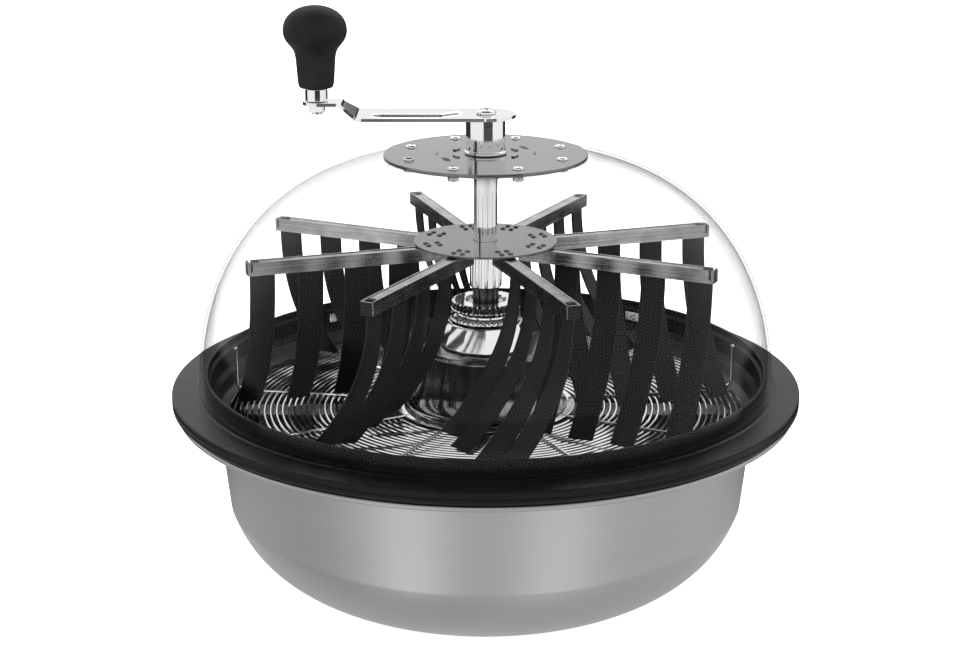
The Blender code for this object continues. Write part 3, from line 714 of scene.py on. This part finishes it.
def make_lid_ring(paint):
    """The stepped ring on the bowl's flange. The dome stands inside its high wall."""
    rim, top, base = high("bowl").x, high("lid_ring").z, low("lid_ring").z
    out, under = high("lid_ring").x, base + 0.0021
    shoulder, lip = base + 0.0125, base + 0.0104
    wall, inner = rim - 0.0224, rim - 0.0310
    profile = [
        (rim - 0.0248, top),
        (wall - 0.0005, top),
        (wall, top - 0.0010),
        (wall, shoulder),
        (rim - 0.0166, shoulder),
        (rim - 0.0150, shoulder - 0.0008),
        (out - 0.0018, lip + 0.0008),
        (out - 0.0006, lip + 0.0006),
        (out, lip - 0.0002),
        (out, under + 0.0044),
        (out - 0.0006, under + 0.0040),
        (out - 0.0006, under + 0.0034),
        (out, under + 0.0030),
        (out, under + 0.0008),
        (out - 0.0008, under),
        (rim, under),
        (rim - 0.0006, base),
        (rim - 0.0035, base),
        (rim - 0.0035, base + 0.0051),
        (rim - 0.0160, base + 0.0091),
        (rim - 0.0210, base + 0.0091),
        (rim - 0.0210, base),
        (inner + 0.0015, base),
        (inner, base + 0.0012),
        (rim - 0.0270, base + 0.0056),
        (rim - 0.0270, top - 0.0070),
        (rim - 0.0248, top - 0.0050),
    ]
    turned("lid_ring", profile, paint, "lid", RING_SIDES, 0.0005)


def dome_profile(steps):
    """The dome's outside, from its flat top down to its foot."""
    foot, radius = low("dome").z, high("dome").x
    land, spring = high("dome").z, foot + 0.0029
    along, across = DOME_POWERS
    last = math.asin(((land - spring) / DOME_RISE) ** (along / 2))
    points = []
    for i in range(steps + 1):
        angle = last * (1 - i / steps)
        height = spring + DOME_RISE * math.sin(angle) ** (2 / along)
        points.append((radius * math.cos(angle) ** (2 / across), height))
    points[-1] = (radius, foot)
    return points


def make_dome(paint):
    foot, land = low("dome").z, high("dome").z
    outside = dome_profile(64)
    inside = offset(outside, -DOME_WALL)
    inside[0] = (outside[0][0] - 0.001, land - DOME_WALL)
    inside[-1] = (outside[-1][0] - DOME_WALL, foot)
    hole = PLATE_BORE + 0.0001
    profile = [(hole, land - DOME_WALL), (hole, land), *outside, *inside[::-1]]
    turned("dome", profile, paint, "lid", ROUND, 0.0006)


def make_top_plate(paint):
    """The brushed disc on the dome, with four pressed crescents and four small tabs."""
    base, top = low("top_plate").z, high("top_plate").z
    wide = high("top_plate").x
    shape = bmesh.new()
    profile = [(PLATE_BORE, base), (PLATE_BORE, top), (wide, top), (wide, base)]
    turn(shape, rounded(profile, 0.0006), ROUND)
    crescents, crescent_radius, half_width = (181.0, 216.0, 1.0, 36.0), 0.037, 0.0011
    swell = [math.sin(math.pi * (i + 0.8) / 10.6) for i in range(10)]
    for middle in crescents:
        angles = [math.radians(middle - 9 + 2 * i) for i in range(10)]
        arc = [polar(crescent_radius, angle, top + 0.0001) for angle in angles]
        sweep(shape, arc, half_width, 10, swell)
    tabs, tab_radius = (150.0, 30.0, 330.0, 210.0), 0.0255
    for middle in tabs:
        out = Matrix.Translation((tab_radius, 0, top))
        place = Matrix.Rotation(math.radians(middle), 4, "Z") @ out
        block(shape, (-0.0012, -0.0035, -0.0004), (0.0012, 0.0035, 0.0010), place)
    stand_in("top_plate", to_mesh("top_plate", shape), paint, "lid")


def cross_recess(width, length, top, depth):
    """Two bars that cut a cross."""
    tools = []
    lowest = (-length / 2, -width / 2, top - depth)
    highest = (length / 2, width / 2, top + depth)
    for angle in (0.3, 0.3 + math.pi / 2):
        shape = bmesh.new()
        block(shape, lowest, highest, Matrix.Rotation(angle, 4, "Z"))
        tools.append(to_mesh("recess", shape))
    return tools


def pan_head(radius, height, seat, shank, end, nut=0.0, nut_top=0.0):
    """A screw with a domed, cross-recessed head and, where asked for, its nut."""
    shape = bmesh.new()
    edge = 0.25  # height of the head's rim, as a share of the head's
    head = [(0.0, seat + height)]
    for i in range(1, 7):
        angle = math.radians(15 * i)
        rise = edge + (1 - edge) * math.cos(angle)
        head.append((radius * math.sin(angle), seat + height * rise))
    head += [(radius, seat), (shank, seat)]
    if nut:
        head += [(shank, nut_top), (nut, nut_top), (nut, end + 0.0003), (nut - 0.0004, end)]
    else:
        head += [(shank, end)]
    turn(shape, [*head, (0.0, end)], TINY)
    mesh = to_mesh("screw", shape)
    return worked(mesh, cross_recess(0.22 * radius, 1.15 * radius, seat + height, 0.6 * height))


def make_plate_screws(paint):
    lowest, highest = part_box("plate_screw_1")
    seat = high("top_plate").z + 0.0002
    nut_top = high("dome").z - DOME_WALL - 0.0003
    head, shank, nut = 0.0043, 0.0020, 0.0040
    mesh = pan_head(head, highest.z - seat, seat, shank, lowest.z, nut, nut_top)
    for index in range(8):
        name = f"plate_screw_{index + 1}"
        middle = centre(name)
        spin = Matrix.Rotation(1.1 * index, 4, "Z")
        place = Matrix.Translation((middle.x, middle.y, 0.0)) @ spin
        stand_in(name, mesh, paint, "lid", place)


def make_dome_clips(paint):
    """Small plates, each held by one screw."""
    half = Vector((0.0009, 0.0085, 0.00375))
    plate = worked(block_mesh(-half, half), bevel=0.0006, segments=3)
    head = pan_head(0.0028, 0.0012, 0.0, 0.0012, -0.0012)
    lay_down = Matrix.Translation((-0.0008, 0, 0)) @ Matrix.Rotation(-math.pi / 2, 4, "Y")
    head.transform(lay_down)
    mesh = worked(plate, added=[head])
    reach = 0.2107
    for index in range(4):
        name = f"dome_clip_{index + 1}"
        angle = bearing(name)
        spot = Matrix.Translation(polar(reach, angle, centre(name).z))
        place = spot @ Matrix.Rotation(angle, 4, "Z")
        stand_in(name, mesh, paint, "lid", place)


def make_shaft_bush(paint):
    """The flanged bush in the top plate."""
    base, top = low("shaft_bush").z, high("shaft_bush").z
    wide, neck = high("shaft_bush").x, 0.0141
    profile = [
        (SHAFT_BORE, top),
        (neck, top),
        (neck, base + 0.0117),
        (wide, base + 0.0117),
        (wide, base + 0.0092),
        (neck + 0.0009, base + 0.0080),
        (neck, base + 0.0060),
        (neck, base),
        (SHAFT_BORE, base),
    ]
    turned("shaft_bush", profile, paint, "lid", SMALL, 0.0006)


# The crank.


def make_main_shaft(paint):
    """The shaft with its hub sleeve, which has a hole for the hub screw."""
    base, top = low("main_shaft").z, high("main_shaft").z
    wide = high("main_shaft").x
    slim, shoulder = wide - 0.006, high("top_plate").z + 0.0005
    hole, hole_end = 0.0043, top - 0.0232
    foot = wide + 0.0012
    profile = [
        (0.0, hole_end),
        (hole, hole_end),
        (hole, top),
        (wide, top),
        (wide, shoulder + 0.0022),
        (foot, shoulder + 0.0018),
        (foot, shoulder),
        (slim, shoulder),
        (slim, base),
        (0.0, base),
    ]
    turned("main_shaft", profile, paint, "crank", SHAFT_SIDES, 0.0005)


def eased(share):
    """A share from 0 to 1 that starts and ends slowly."""
    return share * share * (3 - 2 * share)


def arm_half_width(x):
    """Half the crank arm's width at x, which is negative towards the knob."""
    hub, strip, tab = 0.023, 0.0225, 0.012  # radius of the round end, and half widths
    taper, taper_length = -0.092, 0.020
    nose, end = -0.1255, -0.1375
    if x > 0:
        return math.sqrt(max(hub**2 - x**2, 0.0))
    if x > taper:
        return strip
    if x > taper - taper_length:
        return strip + (tab - strip) * eased((taper - x) / taper_length)
    past = max(nose - x, 0.0) / (nose - end)
    return tab * math.sqrt(max(1 - past**2, 0.0))


def arm_rise(x):
    """The fold up to the knob's tab, with rounded bends."""
    fold, fold_length, rise = -0.0965, 0.014, 0.0095
    share = min(max((fold - x) / fold_length, 0.0), 1.0)
    return rise * (share if 0.1 < share < 0.9 else eased(share))


def rib_rise(x, y):
    """The pressed rib, a flat ridge with a fine valley round it, pointed towards the hub."""
    left, right, half, nose = -0.0885, -0.018, 0.0125, 0.016
    rise, slope, valley, valley_half = 0.0017, 0.0022, 0.0005, 0.0009
    if x > right - nose:
        inside = (right - x) / nose * half - abs(y)
    elif x < left + half:
        inside = half - math.hypot(left + half - x, y)
    else:
        inside = half - abs(y)
    if inside < 0:
        return -valley * max(1 - abs(inside + valley_half) / valley_half, 0.0)
    return rise * min(inside / slope, 1.0)


def arm_stations():
    """Where the crank arm's rows of points lie along x, closer together at its round ends."""
    first, last = 0.02285, -0.13738
    rows, end_rows = 200, 8
    stations = []
    for i in range(rows + 1):
        x = first + (last - first) * (i / rows)
        if i < end_rows:
            x = first * (1 - (i / end_rows) ** 2 * 0.25)
        elif i > rows - end_rows:
            x = last + ((rows - i) / end_rows) ** 2 * 0.006
        stations.append(x)
    return sorted(stations, reverse=True)


def make_crank_arm(paint):
    """The pressed strip: a sheet of points, given its thickness and rounded edges."""
    base = low("crank_arm").z
    thick, columns = 0.0025, 52
    shape = bmesh.new()
    grid = []
    for x in arm_stations():
        half = arm_half_width(x)
        row = []
        for j in range(columns + 1):
            y = half * (2 * j / columns - 1)
            row.append(shape.verts.new((x, y, base + arm_rise(x) + rib_rise(x, y))))
        grid.append(row)
    for near, far in zip(grid, grid[1:]):
        for j in range(columns):
            shape.faces.new((near[j], near[j + 1], far[j + 1], far[j]))
    shape.normal_update()
    mesh = bpy.data.meshes.new("crank_arm")
    shape.to_mesh(mesh)
    shape.free()
    sheet = placed("arm_sheet", mesh)
    solid = sheet.modifiers.new("Sheet", "SOLIDIFY")
    solid.thickness = thick
    solid.offset = -1.0 if mesh.polygons[0].normal.z < 0 else 1.0
    made = worked(settled(sheet), bevel=0.0005, segments=2)
    stand_in("crank_arm", made, paint, "crank")


def make_hub_screw(paint):
    lowest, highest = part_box("hub_screw")
    head, height, shank = 0.0080, 0.0034, 0.0040
    mesh = pan_head(head, height, highest.z - height, shank, lowest.z)
    stand_in("hub_screw", mesh, paint, "crank")


def at_knob():
    return Matrix.Translation((centre("knob").x, 0.0, 0.0))


def make_knob(paint):
    base, top = low("knob").z, high("knob").z
    bore, end, edge = 0.0046, top - 0.0165, 0.001
    # Radius, and height as a share of the knob's.
    outline = [
        (0.0, 1.0), (0.0060, 0.995), (0.0120, 0.969), (0.0172, 0.922), (0.0208, 0.866),
        (0.0231, 0.800), (0.0241, 0.728), (0.0240, 0.665), (0.0230, 0.606), (0.0211, 0.556),
        (0.0184, 0.508), (0.0163, 0.462), (0.0153, 0.410), (0.0148, 0.340), (0.0144, 0.240),
        (0.0139, 0.120), (0.0135, 0.045), (0.0128, 0.012), (0.0118, 0.0),
    ]
    profile = [(radius, base + (top - base) * share) for radius, share in outline]
    profile += [(bore, base), (bore, base + edge), (bore, end - edge), (bore, end), (0.0, end)]
    shape = bmesh.new()
    turn(shape, profile, SMALL)
    mesh = to_mesh("knob", shape, math.radians(50))
    grip = stand_in("knob", mesh, paint, "knob", at_knob())
    soften = grip.modifiers.new("Soft", "SUBSURF")
    soften.levels = 1
    soften.render_levels = 1


def make_knob_spindle(paint):
    pin, flange = 0.0040, 0.0085
    base, end = low("knob_spindle").z, high("knob").z - 0.019
    foot, seat = high("knob_nut").z + 0.0031, low("knob").z - 0.0003
    profile = [
        (0.0, end),
        (pin, end),
        (pin, seat),
        (flange, seat),
        (flange, foot),
        (pin, foot),
        (pin, base),
        (0.0, base),
    ]
    turned("knob_spindle", profile, paint, "crank", SMALL, 0.0006, at_knob())


def make_knob_nut(paint):
    lowest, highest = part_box("knob_nut")
    sides, hole, chamfer = 48, 0.0043, 0.0007
    corner = (highest.x - lowest.x) / 2
    flat = corner * math.cos(math.pi / 6)
    profile = [
        (hole, highest.z),
        (flat, highest.z),
        (corner, highest.z - chamfer),
        (corner, lowest.z + chamfer),
        (flat, lowest.z),
        (hole, lowest.z),
    ]

    def hexagon(radius, height, i):
        angle = math.tau * i / sides
        beside = (angle + math.pi / 6) % (math.pi / 3) - math.pi / 6
        return radius if radius == hole else min(radius, flat / math.cos(beside))

    shape = bmesh.new()
    turn(shape, profile, sides, reach=hexagon)
    mesh = to_mesh("knob_nut", shape, math.radians(25))
    stand_in("knob_nut", mesh, paint, "crank", at_knob())


def make_spider(paint):
    """The plate that holds the arms, with the hollow heads of four rivets over each."""
    base = low("spider_plate").z
    top = base + SHEET
    wide = 0.055
    shape = bmesh.new()
    profile = [(SHAFT_BORE, base), (SHAFT_BORE, top), (wide, top), (wide, base)]
    turn(shape, rounded(profile, 0.0005), ROUND)
    rivet = [
        (0.0, 0.0004), (0.0007, 0.0004), (0.0010, 0.0009), (0.0017, 0.0009), (0.0023, 0.0004),
        (0.0025, -0.0003), (0.0, -0.0003),
    ]
    rows, asides = (0.038, 0.047), (-0.0035, 0.0035)
    for index in range(ARMS):
        angle = bearing(f"arm_{index + 1}")
        for radius in rows:
            for aside in asides:
                spot = polar(radius, angle, top) + polar(aside, angle + math.pi / 2)
                turn(shape, rivet, 16, Matrix.Translation(spot))
    stand_in("spider_plate", to_mesh("spider_plate", shape), paint, "crank")


def arm_mesh():
    """A channel open below, with a notched top near its tip and a turned tab over its end."""
    start_at, end_at = 0.030, 0.1865
    half = CHANNEL / 2
    inner = half - SHEET
    tab = 0.0013
    section = [
        (-half, -half), (-half, half), (-half + 0.0012, half), (-half + 0.0016, half - 0.0005),
        (half - 0.0016, half - 0.0005), (half - 0.0012, half), (half, half), (half, -half),
        (inner, -half), (inner, inner - 0.0004), (-inner, inner - 0.0004), (-inner, -half),
    ]
    along = Matrix(((0, 0, 1, 0), (1, 0, 0, 0), (0, 1, 0, 0), (0, 0, 0, 1)))
    shape = bmesh.new()
    extrude(shape, section, start_at, end_at - tab, along)
    channel = to_mesh("arm", shape)
    notch = ((end_at - 0.0095, -inner, 0.0), (end_at - 0.0040, inner, CHANNEL))
    slit = ((end_at - 0.0036, -CHANNEL, -half + 0.0030), (end_at - 0.0020, CHANNEL, CHANNEL))
    closing = (
        (end_at - tab - 0.0002, -half + 0.0004, -half), (end_at, half - 0.0004, half - 0.0002)
    )
    cut, slitted, tabbed = (block_mesh(*box) for box in (notch, slit, closing))
    return worked(channel, [cut, slitted], [tabbed], bevel=0.0003)


def make_arms(paint, dark):
    """The eight channels. The end face of each is painted dark, as painted shade of a shadowed open
    end with the strap's dark rubber inside it.
    """
    mesh = arm_mesh()
    mesh.materials.append(paint)
    mesh.materials.append(dark)
    # Painted shade: the tab's end faces take the dark rubber paint.
    tip = max(vertex.co.x for vertex in mesh.vertices)
    for face in mesh.polygons:
        if face.normal.x > 0.7 and face.center.x > tip - 0.0004:
            face.material_index = 1
    for index in range(ARMS):
        name = f"arm_{index + 1}"
        rise = Matrix.Translation((0.0, 0.0, centre(name).z))
        place = Matrix.Rotation(bearing(name), 4, "Z") @ rise
        stand_in(name, mesh, paint, "crank", place)


def strap(shape, middle, top, bottom, lean, luck):
    """One hanging strip. It trails to one side, turns by its lean and hangs a bit unevenly."""
    rows = 30
    twist = lean + luck.uniform(-0.10, 0.22)
    drift = luck.uniform(-0.0022, 0.0022)
    trail = STRAP_SWEEP * luck.uniform(0.94, 1.06)
    end = bottom + luck.uniform(0.0, 0.0012)
    half, thick, cut = STRAP_WIDTH / 2, STRAP_THICKNESS / 2, 0.0004
    cup = luck.uniform(-0.0008, 0.0012)
    outline = [
        (-half, -thick + cut), (-half + cut, -thick), (-half / 2, -thick), (0.0, -thick),
        (half / 2, -thick), (half - cut, -thick), (half, -thick + cut), (half, thick - cut),
        (half - cut, thick), (half / 2, thick), (0.0, thick), (-half / 2, thick),
        (-half + cut, thick), (-half, thick - cut),
    ]
    rings = []
    for i in range(rows + 1):
        fall = (i / rows) ** 0.9
        height = top + (end - top) * fall
        out = middle + drift * fall**2
        aside = -trail * fall**STRAP_CURVE
        angle = twist * fall**1.5
        cosine, sine = math.cos(angle), math.sin(angle)
        bend = cup * math.sin(math.pi * min(fall * 1.3, 1.0))
        ring = []
        for x, y in outline:
            y += bend * (1 - (x / half) ** 2)
            spot = (out + x * cosine - y * sine, aside + x * sine + y * cosine, height)
            ring.append(shape.verts.new(spot))
        rings.append(ring)
    skin(shape, rings)


def make_straps(paint):
    """Each comb is four straps under one bead, with a stud in the notch of the arm."""
    luck = random.Random(STRAP_SEED)
    bead = 0.0029
    bead_start, bead_end = 0.0575, 0.1840
    stud_start, stud_end = 0.1776, 0.1819
    for index in range(ARMS):
        name, arm = f"strap_comb_{index + 1}", f"arm_{index + 1}"
        lowest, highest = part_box(name)
        mouth = low(arm).z
        shape = bmesh.new()
        for middle in STRAP_CENTRES:
            strap(shape, middle, mouth + 0.0030, lowest.z, STRAP_LEANS[index], luck)
        under, over = mouth + 0.0008, highest.z - 0.0004
        block(shape, (bead_start, -bead, under), (bead_end, bead, over))
        under, over = highest.z - 0.002, high(arm).z + 0.0004
        block(shape, (stud_start, -bead, under), (stud_end, bead, over))
        place = Matrix.Rotation(bearing(arm), 4, "Z")
        stand_in(name, to_mesh(name, shape), paint, "crank", place)


def make_coupling(paint, dark):
    """The spider's sleeve, bright and lightly fluted. Its splined nose, down in the collar's
    socket, is painted dark as painted shade.
    """
    base, top = low("shaft_coupling").z, high("shaft_coupling").z
    wide, socket_end = 0.0125, base + 0.0262
    shoulder, band = base + 0.0236, top - 0.0040
    sides_per_spline, spline_depth, flute_depth = 8, 0.0016, 0.0006

    def fluted(radius, height, i):
        side = i % sides_per_spline
        if height < shoulder:
            return radius - spline_depth if side in (0, 1, 2) and radius > 0.008 else radius
        if height < band and side in (0, 1) and radius > wide - 0.0005:
            return radius - flute_depth
        return radius

    profile = [
        (0.0, socket_end),
        (SHAFT_BORE, socket_end),
        (SHAFT_BORE, top),
        (wide, top),
        (wide, band + 0.0001),
        (wide, band - 0.0001),
        (wide, base + 0.0250),
        (0.0115, shoulder + 0.0001),
        (NOSE, shoulder - 0.0001),
        (NOSE, base + 0.0010),
        (NOSE - 0.0012, base),
        (0.0, base),
    ]
    shape = bmesh.new()
    turn(shape, profile, sides_per_spline * SPLINES, reach=fluted)
    mesh = to_mesh("shaft_coupling", shape)
    mesh.materials.append(paint)
    mesh.materials.append(dark)
    # Painted shade: the faces below the socket's end, inside the collar, take the dark paint.
    for face in mesh.polygons:
        if face.center.z < socket_end:
            face.material_index = 1
    stand_in("shaft_coupling", mesh, paint, "crank")


# What stays as the frame has it.


def paint_nodes(looks):
    planets = [f"planet_{part}_{i}" for part in ("gear", "pin") for i in (1, 2, 3)]
    kept = {
        "gear_steel": ["ring_gear", "sun_gear", *planets],
        "blade_steel": ["gearbox_floor", "cutting_blade", "blade_nut"],
        "bronze": ["blade_bush", "input_bush"],
    }
    for look, names in kept.items():
        for name in names:
            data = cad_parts[name].data
            data.materials.clear()
            data.materials.append(looks[look])


# The studio.

# Painted over each other in this order: azimuth and elevation of the middle, half width, half
# height and softness, in degrees, and the level. Azimuth 0 is in front of the object, 90 to its
# right.
CARDS = (
    (0, -66, 180, 38, 14, 0.71),
    (0, 75, 180, 25, 14, 0.12),
    (180, 40, 40, 7, 4, 3.00),
    (-110, 40, 40, 26, 14, 0.95),
    (155, 1, 21, 8, 2, 0.03),
    (-170, -15, 72, 8, 2, 0.03),
    (15, -6, 27, 6, 1, 0.02),
    (-60, 14, 9, 10, 3, 0.05),
    (-88, -42, 18, 20, 12, 0.50),
    (-36, -72, 17, 9, 8, 0.45),
    (-36, -42, 13, 13, 12, 1.95),
    (34, -42, 13, 13, 12, 1.85),
)
BASE_LEVEL = 0.95  # what glossy surfaces see between the cards
EVEN_LEVEL = 1.5  # what the view and matt surfaces see

# Name, place, width in metres and power in watts.
LAMPS = (
    ("key", (-1.3, -1.1, 1.9), 1.2, 18.0),
    ("fill", (1.4, -0.6, 1.2), 1.0, 6.0),
)


def card_mask(tree, value, middle, half, soft):
    """1 within half of the middle and 0 past it, with a soft edge. In degrees, but for value."""
    away = calc(tree, "ABSOLUTE", calc(tree, "SUBTRACT", value, math.radians(middle)))
    inner, outer = math.radians(half - soft), math.radians(half + soft)
    inputs = {"Value": away, "From Min": inner, "From Max": outer, "To Min": 1.0, "To Max": 0.0}
    made = add(tree, "ShaderNodeMapRange", inputs, interpolation_type="SMOOTHSTEP")
    return made.outputs["Result"]


def make_world():
    """Even and white, but glossy surfaces see light and dark cards all round."""
    world = bpy.data.worlds.new("studio")
    bpy.context.scene.world = world
    world.use_nodes = True
    tree = world.node_tree
    direction = add(tree, "ShaderNodeTexCoord").outputs["Generated"]
    parts = add(tree, "ShaderNodeSeparateXYZ", {"Vector": direction}).outputs
    elevation = calc(tree, "ARCSINE", parts["Z"])
    level = BASE_LEVEL
    for azimuth, height, half_width, half_height, soft, strength in CARDS:
        inputs = {"Vector": direction, "Angle": -math.radians(azimuth)}
        facing = add(tree, "ShaderNodeVectorRotate", inputs, rotation_type="Z_AXIS")
        flat = add(tree, "ShaderNodeSeparateXYZ", {"Vector": facing.outputs["Vector"]}).outputs
        around = calc(tree, "ARCTAN2", flat["X"], calc(tree, "MULTIPLY", flat["Y"], -1.0))
        wide = card_mask(tree, around, 0.0, half_width, soft)
        tall = card_mask(tree, elevation, height, half_height, soft)
        level = mixed(tree, level, strength, calc(tree, "MULTIPLY", wide, tall))
    rays = add(tree, "ShaderNodeLightPath").outputs
    level = mixed(tree, EVEN_LEVEL, level, rays["Is Glossy Ray"])
    tree.links.new(level, tree.nodes["Background"].inputs["Strength"])
    tree.nodes["Background"].inputs["Color"].default_value = (1.0, 1.0, 1.0, 1.0)


def make_lamp(name, place, size, power):
    data = bpy.data.lights.new(name, "AREA")
    data.shape = "DISK"
    data.size = size
    data.energy = power
    lamp = placed(name, data)
    lamp.location = place
    aim = centre("lid_ring") - Vector(place)
    lamp.rotation_euler = aim.to_track_quat("-Z", "Y").to_euler()
    lamp.visible_camera = False
    lamp.visible_glossy = False


def make_floor():
    """A pale floor that glows a little, so it stays white round the object."""
    shape = bmesh.new()
    bmesh.ops.create_grid(shape, x_segments=1, y_segments=1, size=12.0)
    mesh = to_mesh("floor", shape)
    floor = placed("floor", mesh)
    floor.location.z = -0.0002
    made, _, shader = start("floor", 0.9, 0.0)
    shader.inputs["Base Color"].default_value = (0.93, 0.93, 0.93, 1.0)
    shader.inputs["Specular IOR Level"].default_value = 0.0
    shader.inputs["Emission Color"].default_value = (1.0, 1.0, 1.0, 1.0)
    shader.inputs["Emission Strength"].default_value = 0.75
    mesh.materials.append(made)
    floor.visible_glossy = False


def make_camera():
    data = bpy.data.cameras.new("camera")
    camera = placed("camera", data)
    camera.location = CAMERA_PLACE
    camera.rotation_euler = (math.radians(90 - CAMERA_PITCH), 0.0, 0.0)
    data.sensor_width = CAMERA_SENSOR
    data.lens = CAMERA_LENS
    data.shift_x = CAMERA_SHIFT
    bpy.context.scene.camera = camera
    bpy.context.scene.view_settings.view_transform = "Standard"


make_camera()
looks = make_looks()
make_bowl(looks["stainless"], looks["bowl_painted_shade"])
make_grate(looks["bright_steel"])
for hook in ("grate_hook_1", "grate_hook_2"):
    make_hook(hook, looks["bright_steel"])
make_housing(looks["drum_steel"])
make_cap(looks["polished_steel"])
make_collar(looks["polished_steel"])
make_lid_ring(looks["black_plastic"])
make_dome(looks["clear_acrylic"])
make_top_plate(looks["plate_steel"])
make_plate_screws(looks["polished_steel"])
make_dome_clips(looks["bright_steel"])
make_shaft_bush(looks["polished_steel"])
make_main_shaft(looks["polished_steel"])
make_crank_arm(looks["brushed_light"])
make_hub_screw(looks["polished_steel"])
make_knob(looks["knob_grip"])
make_knob_spindle(looks["polished_steel"])
make_knob_nut(looks["polished_steel"])
make_spider(looks["plate_steel"])
make_arms(looks["brushed_steel"], looks["black_rubber"])
make_straps(looks["black_rubber"])
make_coupling(looks["polished_steel"], looks["blade_steel"])
paint_nodes(looks)
make_world()
make_floor()
for lamp in LAMPS:
    make_lamp(*lamp)
